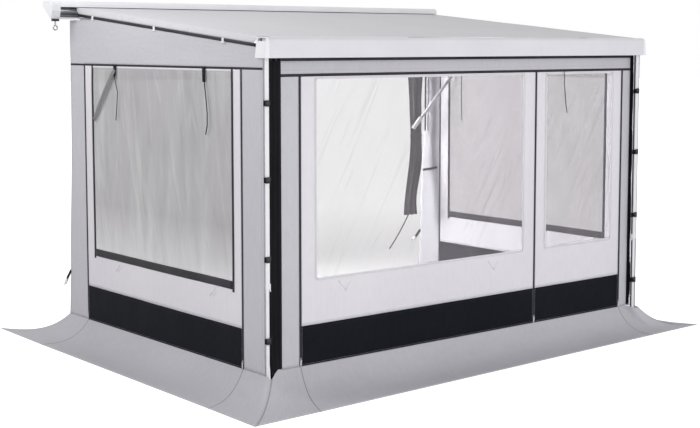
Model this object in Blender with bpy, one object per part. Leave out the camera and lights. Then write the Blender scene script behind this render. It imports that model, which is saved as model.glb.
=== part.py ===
"""Cassette awning with folding arms, two telescopic legs and a zipped-on room.

Metres, +Z up. X runs along the lead rail, the room opens towards +Y, where the vehicle
stands, and the origin is the middle of the wall adapter's back face. Heights are given
above the ground and turned into Z by at_height().
"""
import math

import bmesh
import bpy
from mathutils import Matrix, Vector

# clearances
GAP = 0.0003
RUNNING_GAP = 0.0005
OVERRUN = 0.004

# cassette, as seen from its left end: depth along -Y, height about its middle
MOUNT_HEIGHT = 2.3245
CASE_HEIGHT = 0.125
CASE_DEPTH = 0.137
CASE_LEFT = -1.89
CASE_RIGHT = 1.72
CASE_WALL = 0.003
CASE_BACK_HEIGHT = 0.040
CASE_FLOOR_REACH = 0.022
CASE_FOOT_CHAMFER = 0.018
CAP_FLANGE = 0.014
CAP_EDGE = 0.004
CAP_EDGE_SHARE = 0.333
CASE_NOSE_RADIUS = 0.030
CASE_NOSE_DROP = 0.006
CASE_LIP = 0.008
LEFT_CAP_LENGTH = 0.070
RIGHT_CAP_LENGTH = 0.026
END_CAP_SPIGOT = 0.012
ADAPTER_LEFT = -1.60
ADAPTER_RIGHT = 1.60
ADAPTER_DROP = 0.026
ADAPTER_TOP_DROP = 0.0133
ADAPTER_WALL = 0.004

# canopy: it leaves the roller, passes under the case nose and ends on the lead rail
SLOPE = math.radians(5.5)
CANOPY_THICKNESS = 0.0024
CANOPY_SAG = 0.010
CANOPY_FLAP = 0.045
ROLLER_RADIUS = 0.027
ROLLER_CENTRE_Y = -0.048
ROLLER_END_RADIUS = 0.012
ROLLER_END_GAP = 0.002

# lead rail, which hangs below the middle of the case
RAIL_HALF_LENGTH = 1.705
RAIL_DROP = 0.3165
RAIL_HEIGHT = 0.122
RAIL_BOTTOM = MOUNT_HEIGHT - RAIL_DROP
RAIL_TOP = RAIL_BOTTOM + RAIL_HEIGHT
RAIL_BACK_Y = -2.286
RAIL_DEPTH = 0.104
RAIL_WALL = 0.003
RAIL_FRONT_RADIUS = 0.026
RAIL_LIP = 0.014
KEDER_TRACK_HEIGHT = 0.016
KEDER_TRACK_DEPTH = 0.011
RAIL_CAP_LENGTH = 0.012
RAIL_CAP_TAPER = 0.030

# folding arms, in a plane under the canopy and parallel to it
ARM_DROP = 0.045
SHOULDER_Y = -0.112
WRIST_STANDOFF = 0.036
ARM_X = 1.50
ARM_BEND = math.radians(16.5)
ARM_WIDTH = 0.030
ARM_THICKNESS = 0.034
ARM_OFFSET = 0.016
ARM_WALL_CHAMFER = 0.004
KNUCKLE_RADIUS = 0.019
ELBOW_RADIUS = 0.021
TONGUE_THICKNESS = 0.014
PLATE_THICKNESS = 0.006
ARM_PIN_RADIUS = 0.007
NECK_LENGTH = 0.044
TUBE_START = 0.052
WRIST_PAD_HALF_LENGTH = 0.038

# legs: an outer tube under the rail's ends, an inner tube, a clamp lever and a foot
LEG_X = 1.665
LEG_Y = -2.335
LEG_WIDTH = 0.030
LEG_DEPTH = 0.026
LEG_WALL = 0.0025
LEG_PIVOT_RISE = 0.022
LEG_PIVOT_HEIGHT = RAIL_BOTTOM + LEG_PIVOT_RISE
LEG_OUTER_BOTTOM = 0.660
LEG_INNER_TOP = 1.140
LEG_BORE_DROP = 0.208
LEG_BORE_TOP = RAIL_BOTTOM - LEG_BORE_DROP
LEG_GROOVE_WIDTH = 0.008
LEG_GROOVE_DEPTH = 0.0012
COLLAR_HEIGHT = 0.034
COLLAR_WALL = 0.0022
COLLAR_RADIUS = 0.004
PIVOT_PIN_RADIUS = 0.004
PIVOT_PLATE = 0.003
PIVOT_EAR_RADIUS = 0.008
PIVOT_BLOCK_WIDTH = 0.026
LEVER_LENGTH = 0.046
LEVER_WIDTH = 0.016
LEVER_THICKNESS = 0.006
FOOT_RADIUS = 0.028
FOOT_THICKNESS = 0.007
FOOT_LUG_HEIGHT = 0.030
FOOT_LUG_WIDTH = 0.010
FOOT_FORK_HEIGHT = 0.014
FOOT_PIN_RADIUS = 0.003

# room walls
FABRIC = 0.0024
FILM = 0.0012
WALL_Y = -2.290
WALL_LEFT = -1.505
WALL_RIGHT = 1.675
ZIP_LEFT = -1.385
ZIP_DOOR = 0.652
ZIP_RIGHT = 1.560
ROOM_BOTTOM = 0.153
BAND_TOP = 0.397
TOP_ZIP_DROP_FRONT = 0.103
TOP_ZIP_FRONT = RAIL_BOTTOM - TOP_ZIP_DROP_FRONT
FILM_BOTTOM_FRONT = 0.670
FILM_MARGIN_FRONT = 0.017
FILM_TOP_FRONT = TOP_ZIP_FRONT - FILM_MARGIN_FRONT
FRONT_FILM_LEFT = -1.266
FRONT_FILM_RIGHT = 0.532
DOOR_FILM_LEFT = 0.755
DOOR_FILM_RIGHT = 1.457
SIDE_X = 1.690
SIDE_FRONT_Y = -2.345
SIDE_REAR_Y = -0.020
SIDE_BULGE_Y = 0.030
SIDE_BULGE_HEIGHT = 0.600
SIDE_FOOT_Y = 0.060
ZIP_SIDE_FRONT = -2.125
ZIP_SIDE_REAR = -0.220
TOP_ZIP_DROP_SIDE = 0.061
TOP_ZIP_SIDE = RAIL_BOTTOM - TOP_ZIP_DROP_SIDE
SIDE_FILM_FRONT = -2.030
SIDE_FILM_REAR = -0.332
SIDE_FILM_BOTTOM = 0.635
SIDE_FILM_MARGIN = 0.022
SIDE_FILM_TOP = TOP_ZIP_SIDE - SIDE_FILM_MARGIN
KEDER_HEIGHT = 0.014
KEDER_THICKNESS = 0.006
KEDER_PROUD = 0.0015

# mud skirts, sewn under the walls and spread on the ground
SKIRT_FRONT_REACH_LEFT = 0.455
SKIRT_FRONT_REACH_RIGHT = 0.325
SKIRT_LEFT_REACH = 0.355
SKIRT_RIGHT_REACH = 0.406
SKIRT_REAR_REACH = 0.515
SKIRT_LIFT = 0.0032
SKIRT_REACH_POWER = 1.6
SKIRT_DROP_POWER = 3.4
SKIRT_TURN_SHARE = 0.5
SKIRT_RIPPLE = 0.004
SKIRT_RIPPLE_PITCH = 0.42
CORNER_POCKET_REACH = 0.086
CORNER_POCKET_FLAT = 0.075
CORNER_POCKET_WIDTH = 0.200
CORNER_POCKET_DROP = 0.024

# corner strips and the webbing loops that hold them to the legs
STRIP_CLEAR = 0.0030
STRIP_TOP_DROP = 0.004
STRIP_TOP = RAIL_BOTTOM - STRIP_TOP_DROP
STRIP_BOTTOM = 0.160
STRIP_FOLD_WIDTH = 0.045
STRIP_FOLD_DEPTH = 0.005
LOOP_HEIGHT = 0.028
LOOP_THICKNESS = 0.0018
LOOP_SLACK = 0.0012
LOOP_SHARES = (0.8733, 0.6512, 0.4192, 0.1781)

# zip sliders, their pulls and the tension straps behind the side walls
SLIDER_WIDTH = 0.012
SLIDER_LENGTH = 0.022
SLIDER_THICKNESS = 0.006
SLIDER_NOSE_SHARE = 0.7
SLIDER_WAIST_SHARE = 0.6
PULL_LENGTH = 0.030
PULL_WIDTH = 0.007
PULL_THICKNESS = 0.002
STRAP_TOP_Y = 0.050
STRAP_TOP_HEIGHT = 0.470
STRAP_END_Y = 0.117
STRAP_END_HEIGHT = 0.372
STRAP_WIDTH = 0.020
STRAP_THICKNESS = 0.002
CLIP_LENGTH = 0.040
CLIP_WIDTH = 0.026
CLIP_THICKNESS = 0.006
CLIP_TIP_SHARE = 0.6

# crank
GEARBOX_LENGTH = 0.050
GEARBOX_HEIGHT = 0.016
GEARBOX_ROOF = 0.0053
CRANK_X = -1.855
CRANK_SHAFT_RADIUS = 0.006
CRANK_SHAFT_LENGTH = 0.030
CRANK_EYE_RADIUS = 0.015
CRANK_EYE_WIRE = 0.0045

# facets
SHARP_ANGLE = math.radians(35)
BEVEL_LIMIT = math.radians(60)
ROUND_SIDES = 32
SMALL_ROUND_SIDES = 20
CORNER_STEPS = 6
TUBE_CORNER_STEPS = 3
FOLD_STEPS = 4
CANOPY_COLUMNS = 14
CANOPY_ROWS = 9
SKIRT_COLUMNS = 16
SKIRT_CORNER_SHARES = (0.0, 0.18, 0.36, 0.5, 0.62, 0.76, 0.88, 1.0)
SKIRT_ROWS = 9


def at_height(height):
    """Z of a height above the ground."""
    return height - MOUNT_HEIGHT


def clear_objects():
    for thing in list(bpy.data.objects):
        bpy.data.objects.remove(thing, do_unlink=True)


def finish(name, colour, roughness, metallic=0.0, alpha=1.0):
    material = bpy.data.materials.new(name)
    material.use_nodes = True
    shader = material.node_tree.nodes["Principled BSDF"]
    shader.inputs["Base Color"].default_value = (*colour, 1.0)
    shader.inputs["Roughness"].default_value = roughness
    shader.inputs["Metallic"].default_value = metallic
    shader.inputs["Alpha"].default_value = alpha
    return material


POWDER_WHITE = dict(colour=(0.84, 0.84, 0.87), roughness=0.35)
CAST_GREY = dict(colour=(0.30, 0.31, 0.33), roughness=0.50, metallic=0.6)
PLASTIC_BLACK = dict(colour=(0.015, 0.015, 0.018), roughness=0.45)
PLASTIC_WHITE = dict(colour=(0.80, 0.80, 0.82), roughness=0.40)
CLOTH_GREY = dict(colour=(0.48, 0.47, 0.49), roughness=0.85)
CLOTH_LIGHT = dict(colour=(0.68, 0.67, 0.70), roughness=0.80)
CLOTH_BLACK = dict(colour=(0.012, 0.014, 0.018), roughness=0.60)
CLEAR_FILM = dict(colour=(0.60, 0.61, 0.62), roughness=0.10, alpha=0.35)
CANOPY_VINYL = dict(colour=(0.62, 0.62, 0.66), roughness=0.45)


def add_object(name, mesh_data, look, smooth=False):
    """Makes the named piece from a bmesh, with a material of its own."""
    mesh = bpy.data.meshes.new(name)
    bmesh.ops.recalc_face_normals(mesh_data, faces=mesh_data.faces)
    mesh_data.to_mesh(mesh)
    mesh_data.free()
    if smooth:
        mesh.shade_smooth()
        mesh.set_sharp_from_angle(angle=SHARP_ANGLE)
    piece = bpy.data.objects.new(name, mesh)
    piece.data.materials.append(finish(name, **look))
    bpy.context.collection.objects.link(piece)
    return piece


def put(mesh_data, placement):
    bmesh.ops.transform(mesh_data, matrix=placement, verts=mesh_data.verts)
    return mesh_data


def slab(outline, low, high, across):
    """A flat outline of (a, b) points, given thickness from low to high along an axis.

    across "X" reads (a, b) as (Y, Z), "Y" reads it as (X, Z) and "Z" reads it as (X, Y).
    """
    order = {"X": lambda a, b, c: (c, a, b), "Y": lambda a, b, c: (a, c, b), "Z": lambda a, b, c: (a, b, c)}
    place = order[across]
    mesh_data = bmesh.new()
    first = [mesh_data.verts.new(place(a, b, low)) for a, b in outline]
    last = [mesh_data.verts.new(place(a, b, high)) for a, b in outline]
    mesh_data.faces.new(first)
    mesh_data.faces.new(list(reversed(last)))
    for i in range(len(outline)):
        j = (i + 1) % len(outline)
        mesh_data.faces.new((first[i], last[i], last[j], first[j]))
    bmesh.ops.recalc_face_normals(mesh_data, faces=mesh_data.faces)
    return mesh_data


def loft(sections):
    """A closed solid through (x, outline) sections, each with as many (Y, Z) points."""
    mesh_data = bmesh.new()
    rings = [[mesh_data.verts.new((x, y, z)) for y, z in outline] for x, outline in sections]
    mesh_data.faces.new(rings[0])
    mesh_data.faces.new(rings[-1])
    for first, last in zip(rings, rings[1:]):
        for i in range(len(first)):
            j = (i + 1) % len(first)
            mesh_data.faces.new((first[i], last[i], last[j], first[j]))
    bmesh.ops.recalc_face_normals(mesh_data, faces=mesh_data.faces)
    return mesh_data


def block(low, high):
    outline = [(low[0], low[1]), (high[0], low[1]), (high[0], high[1]), (low[0], high[1])]
    return slab(outline, low[2], high[2], "Z")


def window_plate(outer, hole, low, high, across):
    """A rectangular plate with a rectangular hole; boxes are (a0, b0, a1, b1)."""
    place = {"X": lambda a, b, c: (c, a, b), "Y": lambda a, b, c: (a, c, b)}[across]
    mesh_data = bmesh.new()

    def ring(box, level):
        a0, b0, a1, b1 = box
        return [mesh_data.verts.new(place(a, b, level)) for a, b in ((a0, b0), (a1, b0), (a1, b1), (a0, b1))]

    outer_low, outer_high = ring(outer, low), ring(outer, high)
    hole_low, hole_high = ring(hole, low), ring(hole, high)
    for i in range(4):
        j = (i + 1) % 4
        mesh_data.faces.new((outer_low[i], outer_low[j], hole_low[j], hole_low[i]))
        mesh_data.faces.new((outer_high[i], hole_high[i], hole_high[j], outer_high[j]))
        mesh_data.faces.new((outer_low[i], outer_high[i], outer_high[j], outer_low[j]))
        mesh_data.faces.new((hole_low[i], hole_low[j], hole_high[j], hole_high[i]))
    bmesh.ops.recalc_face_normals(mesh_data, faces=mesh_data.faces)
    return mesh_data


def rod(radius, start, end, sides=ROUND_SIDES):
    """A round bar between two points."""
    start, end = Vector(start), Vector(end)
    along = end - start
    mesh_data = bmesh.new()
    bmesh.ops.create_cone(
        mesh_data, cap_ends=True, segments=sides, radius1=radius, radius2=radius, depth=along.length
    )
    turn = along.to_track_quat("Z", "Y").to_matrix().to_4x4()
    return put(mesh_data, Matrix.Translation((start + end) / 2) @ turn)


def arc(centre, radius, start, end, steps=CORNER_STEPS):
    """Points of an arc in degrees, both ends included."""
    found = []
    for i in range(steps + 1):
        angle = math.radians(start + (end - start) * i / steps)
        found.append((centre[0] + radius * math.cos(angle), centre[1] + radius * math.sin(angle)))
    return found


def sheet(front, back):
    """A closed thin solid from two grids of points, front[i][j] facing back[i][j]."""
    mesh_data = bmesh.new()
    rows, columns = len(front), len(front[0])
    sides = [[[mesh_data.verts.new(p) for p in row] for row in grid] for grid in (front, back)]
    for i in range(rows - 1):
        for j in range(columns - 1):
            for side in sides:
                mesh_data.faces.new((side[i][j], side[i][j + 1], side[i + 1][j + 1], side[i + 1][j]))
    rim = [(0, j) for j in range(columns)] + [(i, columns - 1) for i in range(1, rows)]
    rim += [(rows - 1, j) for j in range(columns - 2, -1, -1)] + [(i, 0) for i in range(rows - 2, 0, -1)]
    for k in range(len(rim)):
        (a, b), (c, d) = rim[k], rim[(k + 1) % len(rim)]
        mesh_data.faces.new((sides[0][a][b], sides[1][a][b], sides[1][c][d], sides[0][c][d]))
    bmesh.ops.recalc_face_normals(mesh_data, faces=mesh_data.faces)
    return mesh_data


def carve(piece, tool_mesh, operation):
    """Adds or cuts a second shape with a Boolean whose tool stays hidden."""
    count = len([thing for thing in bpy.data.objects if thing.name.startswith("tool_")])
    mesh = bpy.data.meshes.new(f"tool_{count}")
    tool_mesh.to_mesh(mesh)
    tool_mesh.free()
    tool = bpy.data.objects.new(f"tool_{count}", mesh)
    bpy.context.collection.objects.link(tool)
    tool.hide_render = True
    tool.display_type = "WIRE"
    tool.parent = piece.parent
    tool.matrix_world = piece.matrix_world.copy() if piece.parent is None else tool.matrix_world
    change = piece.modifiers.new(f"{operation.lower()}_{count}", "BOOLEAN")
    change.operation = operation
    change.solver = "EXACT"
    change.object = tool
    return piece


def join(piece, tool_mesh):
    return carve(piece, tool_mesh, "UNION")


def cut(piece, tool_mesh):
    return carve(piece, tool_mesh, "DIFFERENCE")


def pivot(name, point, pieces):
    """An empty on a joint's axis, which carries the pieces that turn or slide there."""
    empty = bpy.data.objects.new(name, None)
    empty.empty_display_size = ARM_WIDTH
    bpy.context.collection.objects.link(empty)
    empty.location = point
    bpy.context.view_layer.update()
    for piece in pieces:
        tools = [m.object for m in piece.modifiers if m.type == "BOOLEAN"]
        for thing in [piece, *tools]:
            thing.parent = empty
            thing.matrix_parent_inverse = empty.matrix_world.inverted()
    return empty


# canopy plane

CANOPY_END_Y = RAIL_BACK_Y - RAIL_WALL * 2
FLAP_START_Y = -CASE_DEPTH - CASE_LIP
FLAP_END_Y = RAIL_BACK_Y + CASE_LIP
RISE = math.tan(SLOPE)


def canopy_height(y):
    """Height of the canopy's top face at a distance y from the vehicle."""
    return RAIL_TOP + CANOPY_THICKNESS + GAP * 2 + (y - CANOPY_END_Y) * RISE


def keder_height(y):
    """Height of the middle of the keder profile, which touches the flap's lower edge."""
    return canopy_height(y) - CANOPY_FLAP - KEDER_HEIGHT / 2 - GAP / math.cos(SLOPE)


def arm_plane(x, reach, rise):
    """World point of (x, reach, rise), where reach runs up the slope from the shoulder."""
    along = Vector((0.0, math.cos(SLOPE), math.sin(SLOPE)))
    normal = Vector((0.0, -math.sin(SLOPE), math.cos(SLOPE)))
    shoulder = Vector((0.0, SHOULDER_Y, at_height(canopy_height(SHOULDER_Y) - ARM_DROP)))
    return shoulder + Vector((x, 0.0, 0.0)) + along * reach + normal * rise


def arm_frame(point, direction):
    """Matrix whose x axis lies along a direction (x, reach) in the arm plane."""
    along = Vector((0.0, math.cos(SLOPE), math.sin(SLOPE)))
    normal = Vector((0.0, -math.sin(SLOPE), math.cos(SLOPE)))
    x_axis = Vector((direction[0], 0.0, 0.0)) + along * direction[1]
    x_axis.normalize()
    y_axis = normal.cross(x_axis)
    matrix = Matrix((x_axis, y_axis, normal)).transposed().to_4x4()
    matrix.translation = point
    return matrix


WRIST_Y = RAIL_BACK_Y + WRIST_STANDOFF
ARM_REACH = (SHOULDER_Y - WRIST_Y) / math.cos(SLOPE)
ARM_LINK = ARM_REACH / (2 * math.cos(ARM_BEND))
ELBOW_SIDE = ARM_LINK * math.sin(ARM_BEND)


# cassette

def inset_outline(outline, distance):
    """Moves every edge of a closed outline inwards by a distance."""
    count = len(outline)
    area = sum(a[0] * b[1] - b[0] * a[1] for a, b in zip(outline, outline[1:] + outline[:1]))
    sign = 1.0 if area > 0 else -1.0
    edges = []
    for i in range(count):
        a, b = Vector(outline[i]), Vector(outline[(i + 1) % count])
        along = (b - a).normalized()
        inward = Vector((-along.y, along.x)) * sign
        edges.append((a + inward * distance, along))
    moved = []
    for i in range(count):
        (p, u), (q, v) = edges[i - 1], edges[i]
        turn = u.x * v.y - u.y * v.x
        step = ((q.x - p.x) * v.y - (q.y - p.y) * v.x) / turn if abs(turn) > GAP else 0.0
        point = p + u * step if abs(turn) > GAP else q
        moved.append((point.x, point.y))
    return moved


def case_profile(slanting):
    """(Y, Z) outline of the case, going round from the foot of its back.

    The outer end of each cap has a slanting back, and the housing a nearly square one.
    """
    top = CASE_HEIGHT / 2
    back = -ADAPTER_WALL - GAP
    knee = top - CASE_BACK_HEIGHT if slanting else -top + CASE_FOOT_CHAMFER
    floor_back = -CASE_DEPTH + CASE_FLOOR_REACH if slanting else back - CASE_FOOT_CHAMFER
    radius = CASE_NOSE_RADIUS
    floor_front = -CASE_DEPTH + CASE_FLOOR_REACH - CASE_LIP
    outline = [(back, knee), (back, top)]
    outline += arc((-CASE_DEPTH + radius, top - radius), radius, 90, 180)
    outline += [(-CASE_DEPTH, -CASE_NOSE_DROP), (floor_front, -top), (floor_back, -top)]
    return outline


def roller_height():
    return canopy_height(ROLLER_CENTRE_Y) - CANOPY_THICKNESS - GAP - ROLLER_RADIUS / math.cos(SLOPE)


def build_case():
    """The extruded case, open at its front for the canopy and the arms."""
    left, right = CASE_LEFT + LEFT_CAP_LENGTH, CASE_RIGHT - RIGHT_CAP_LENGTH
    outline = case_profile(slanting=False)
    housing = add_object("cassette_housing", slab(outline, left, right, "X"), POWDER_WHITE, smooth=True)
    cut(housing, slab(inset_outline(outline, CASE_WALL), left - OVERRUN, right + OVERRUN, "X"))
    mouth_top = at_height(canopy_height(-CASE_DEPTH)) + CASE_LIP / 2
    floor = -CASE_HEIGHT / 2 + CASE_WALL
    mouth = [
        (-CASE_DEPTH - OVERRUN, mouth_top),
        (-CASE_DEPTH + CASE_NOSE_RADIUS / 2, mouth_top),
        (-CASE_DEPTH + CASE_FLOOR_REACH - CASE_LIP / 2, floor + CASE_LIP),
        (-CASE_DEPTH - OVERRUN, floor + CASE_LIP / 2),
    ]
    cut(housing, slab(mouth, left - OVERRUN, right + OVERRUN, "X"))
    build_case_cap("case_end_cap_left", CASE_LEFT, left - GAP)
    build_case_cap("case_end_cap_right", CASE_RIGHT, right + GAP)


def build_case_cap(name, outer, inner):
    """A moulded cap whose flange fits the housing and carries the roller's end."""
    inward = 1 if inner > outer else -1
    flange, end = case_profile(slanting=False), case_profile(slanting=True)
    sections = [
        (outer, inset_outline(end, CAP_EDGE)),
        (outer + inward * CAP_EDGE * CAP_EDGE_SHARE, inset_outline(end, CAP_EDGE * CAP_EDGE_SHARE)),
        (outer + inward * CAP_EDGE, end),
        (inner - inward * (CAP_FLANGE + CAP_EDGE), end),
        (inner - inward * CAP_FLANGE, flange),
        (inner, flange),
    ]
    cap = add_object(name, loft(sections), POWDER_WHITE, smooth=True)
    z = at_height(roller_height())
    bearing = rod(
        ROLLER_END_RADIUS + RUNNING_GAP,
        (inner - inward * END_CAP_SPIGOT, ROLLER_CENTRE_Y, z),
        (inner + inward * OVERRUN, ROLLER_CENTRE_Y, z),
    )
    cut(cap, bearing)


def build_wall_adapter():
    """The strip screwed to the vehicle, with a ledge that carries the case's floor."""
    top = CASE_HEIGHT / 2 - ADAPTER_TOP_DROP
    bottom = -CASE_HEIGHT / 2 - ADAPTER_DROP
    ledge = -CASE_HEIGHT / 2 - GAP
    ledge_out = -CASE_DEPTH / 2
    outline = [
        (0.0, bottom),
        (0.0, top),
        (-ADAPTER_WALL, top),
        (-ADAPTER_WALL, ledge),
        (ledge_out, ledge),
        (ledge_out, ledge - ADAPTER_WALL),
        (-ADAPTER_WALL * 2, ledge - ADAPTER_WALL),
        (-ADAPTER_WALL, ledge - ADAPTER_WALL * 2),
        (-ADAPTER_WALL, bottom),
    ]
    add_object("wall_adapter", slab(outline, ADAPTER_LEFT, ADAPTER_RIGHT, "X"), CAST_GREY)


def build_roller():
    left = CASE_LEFT + LEFT_CAP_LENGTH + ROLLER_END_GAP
    right = CASE_RIGHT - RIGHT_CAP_LENGTH - ROLLER_END_GAP
    z = at_height(roller_height())
    tube = rod(ROLLER_RADIUS, (left, ROLLER_CENTRE_Y, z), (right, ROLLER_CENTRE_Y, z))
    roller = add_object("roller_tube", tube, CAST_GREY, smooth=True)
    journal = END_CAP_SPIGOT - RUNNING_GAP
    join(
        roller,
        rod(ROLLER_END_RADIUS, (left - journal, ROLLER_CENTRE_Y, z), (right + journal, ROLLER_CENTRE_Y, z)),
    )
    pivot("roller_axis", (0.0, ROLLER_CENTRE_Y, z), [roller])


def build_gearbox():
    """Gearbox under the left end cap, and the eye that the crank hooks into."""
    low_z = -CASE_HEIGHT / 2 - GAP
    half = GEARBOX_LENGTH / 2
    depth = GEARBOX_HEIGHT
    # the sloping back of the case leaves only its flat floor as a seat
    centre_y = CASE_FLOOR_REACH + CASE_LIP - CASE_DEPTH - half / 2
    outline = [
        (CRANK_X - half, centre_y - half / 2),
        (CRANK_X + half, centre_y - half / 2),
        (CRANK_X + half, centre_y + CASE_LIP),
        (CRANK_X + half / 2, centre_y + half / 2),
        (CRANK_X - half / 2, centre_y + half / 2),
        (CRANK_X - half, centre_y + CASE_LIP),
    ]
    gearbox = add_object("gearbox", slab(outline, low_z - depth, low_z, "Z"), PLASTIC_BLACK)
    bore = rod(
        CRANK_SHAFT_RADIUS + RUNNING_GAP,
        (CRANK_X, centre_y, low_z - depth - OVERRUN),
        (CRANK_X, centre_y, low_z - GEARBOX_ROOF),
        SMALL_ROUND_SIDES,
    )
    cut(gearbox, bore)

    shaft_top = low_z - depth / 2
    shaft_foot = low_z - depth - CRANK_SHAFT_LENGTH
    ends = (CRANK_X, centre_y, shaft_top), (CRANK_X, centre_y, shaft_foot)
    eye = add_object("crank_eye", rod(CRANK_SHAFT_RADIUS, *ends, SMALL_ROUND_SIDES), CAST_GREY, smooth=True)
    ring = bmesh.new()
    turns, sides = ROUND_SIDES, SMALL_ROUND_SIDES // 2
    loops = []
    for i in range(turns):
        around = 2 * math.pi * i / turns
        loop = []
        for j in range(sides):
            about = 2 * math.pi * j / sides
            radius = CRANK_EYE_RADIUS + CRANK_EYE_WIRE * math.cos(about)
            loop.append(
                ring.verts.new(
                    (
                        CRANK_X + radius * math.cos(around),
                        centre_y + CRANK_EYE_WIRE * math.sin(about),
                        shaft_foot - CRANK_EYE_RADIUS + radius * math.sin(around),
                    )
                )
            )
        loops.append(loop)
    for i in range(turns):
        for j in range(sides):
            a, b = loops[i], loops[(i + 1) % turns]
            ring.faces.new((a[j], b[j], b[(j + 1) % sides], a[(j + 1) % sides]))
    bmesh.ops.recalc_face_normals(ring, faces=ring.faces)
    join(eye, ring)
    pivot("crank_axis", (CRANK_X, centre_y, shaft_foot), [eye])


# canopy

def build_canopy():
    """The roof sheet with a flap down each side, from the roller to the lead rail."""
    hem = CANOPY_THICKNESS + GAP
    stations = [(ROLLER_CENTRE_Y, hem), (FLAP_START_Y + CASE_LIP / 2, hem)]
    for i in range(CANOPY_ROWS + 1):
        stations.append((FLAP_START_Y + (FLAP_END_Y - FLAP_START_Y) * i / CANOPY_ROWS, CANOPY_FLAP))
    stations += [(FLAP_END_Y - CASE_LIP / 2, hem), (CANOPY_END_Y, hem)]
    outer, inner = [], []
    for y, flap in stations:
        top = at_height(canopy_height(y))
        down = (y - ROLLER_CENTRE_Y) / (CANOPY_END_Y - ROLLER_CENTRE_Y)
        sag = CANOPY_SAG * math.sin(math.pi * down)
        row_out, row_in = [(-SIDE_X, y, top - flap)], [(-SIDE_X + CANOPY_THICKNESS, y, top - flap)]
        for j in range(CANOPY_COLUMNS + 1):
            share = j / CANOPY_COLUMNS
            z = top - sag * math.sin(math.pi * share)
            x = SIDE_X * (2 * share - 1)
            row_out.append((x, y, z))
            row_in.append((x * (1 - CANOPY_THICKNESS / SIDE_X), y, z - CANOPY_THICKNESS))
        row_out.append((SIDE_X, y, top - flap))
        row_in.append((SIDE_X - CANOPY_THICKNESS, y, top - flap))
        outer.append(row_out)
        inner.append(row_in)
    add_object("canopy", sheet(outer, inner), CANOPY_VINYL)


def build_keder(side):
    """The black keder profile between the canopy's flap and a side wall."""
    name = "left" if side < 0 else "right"
    low = KEDER_HEIGHT / 2
    rear_y, front_y = FLAP_START_Y, FLAP_END_Y
    outline = [
        (front_y, at_height(keder_height(front_y)) - low),
        (front_y, at_height(keder_height(front_y)) + low),
        (rear_y, at_height(keder_height(rear_y)) + low),
        (rear_y, at_height(keder_height(rear_y)) - low),
    ]
    inner, outer = sorted((side * (SIDE_X + KEDER_PROUD), side * (SIDE_X + KEDER_PROUD - KEDER_THICKNESS)))
    add_object(f"keder_strip_{name}", slab(outline, inner, outer, "X"), PLASTIC_BLACK)


# lead rail

def rail_profile():
    """(Y, Z) outline of the rail: a channel open below, with a keder track at its rear foot."""
    back = RAIL_BACK_Y
    front = RAIL_BACK_Y - RAIL_DEPTH
    top, bottom = at_height(RAIL_TOP), at_height(RAIL_BOTTOM)
    radius = RAIL_FRONT_RADIUS
    inner = radius - RAIL_WALL
    outline = [(back, bottom), (back, top)]
    outline += arc((front + radius, top - radius), radius, 90, 180)
    outline += [(front, bottom), (front + RAIL_LIP, bottom), (front + RAIL_LIP, bottom + RAIL_WALL)]
    outline += [(front + RAIL_WALL, bottom + RAIL_WALL)]
    outline += arc((front + radius, top - radius), inner, 180, 90)
    outline += [(back - RAIL_WALL, top - RAIL_WALL)]
    outline += [
        (back - RAIL_WALL, bottom + KEDER_TRACK_HEIGHT),
        (back - KEDER_TRACK_DEPTH, bottom + KEDER_TRACK_HEIGHT),
        (back - KEDER_TRACK_DEPTH, bottom),
    ]
    return outline


def build_rail():
    end = RAIL_HALF_LENGTH - RAIL_CAP_TAPER
    add_object("lead_rail", slab(rail_profile(), -end, end, "X"), POWDER_WHITE, smooth=True)
    back, front = RAIL_BACK_Y, RAIL_BACK_Y - RAIL_DEPTH
    top, bottom = at_height(RAIL_TOP), at_height(RAIL_BOTTOM)
    radius = RAIL_FRONT_RADIUS
    outline = [(back, bottom), (back, top)]
    outline += arc((front + radius, top - radius), radius, 90, 180) + [(front, bottom)]
    for side, name in ((-1, "rail_end_cap_left"), (1, "rail_end_cap_right")):
        cap = bmesh.new()
        inner_face, outer_face = [], []
        for y, z in outline:
            lean = (z - bottom) / (top - bottom)
            inner_face.append(cap.verts.new((side * (end + GAP), y, z)))
            reach = RAIL_HALF_LENGTH - RAIL_CAP_TAPER / 2 * lean
            outer_face.append(cap.verts.new((side * reach, y, z)))
        cap.faces.new(inner_face)
        cap.faces.new(outer_face)
        for i in range(len(outline)):
            j = (i + 1) % len(outline)
            cap.faces.new((inner_face[i], inner_face[j], outer_face[j], outer_face[i]))
        bmesh.ops.recalc_face_normals(cap, faces=cap.faces)
        piece = add_object(name, cap, PLASTIC_WHITE, smooth=True)
        pocket_x = RAIL_HALF_LENGTH - RAIL_CAP_LENGTH
        hollow = block(
            (min(side * (end - OVERRUN), side * pocket_x), front + RAIL_LIP, bottom - OVERRUN),
            (max(side * (end - OVERRUN), side * pocket_x), back - KEDER_TRACK_DEPTH, top - RAIL_WALL * 2),
        )
        cut(piece, hollow)


# folding arms

def arm_tube(side, start, end):
    """A chamfered tube along local x, set off to one side of the pivot line."""
    half, tall, chamfer = ARM_WIDTH / 2, ARM_THICKNESS / 2, ARM_WALL_CHAMFER
    middle = side * ARM_OFFSET
    outline = [
        (middle - half, -tall + chamfer),
        (middle - half, tall - chamfer),
        (middle - half + chamfer, tall),
        (middle + half - chamfer, tall),
        (middle + half, tall - chamfer),
        (middle + half, -tall + chamfer),
        (middle + half - chamfer, -tall),
        (middle - half + chamfer, -tall),
    ]
    return slab(outline, start, end, "X")


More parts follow.
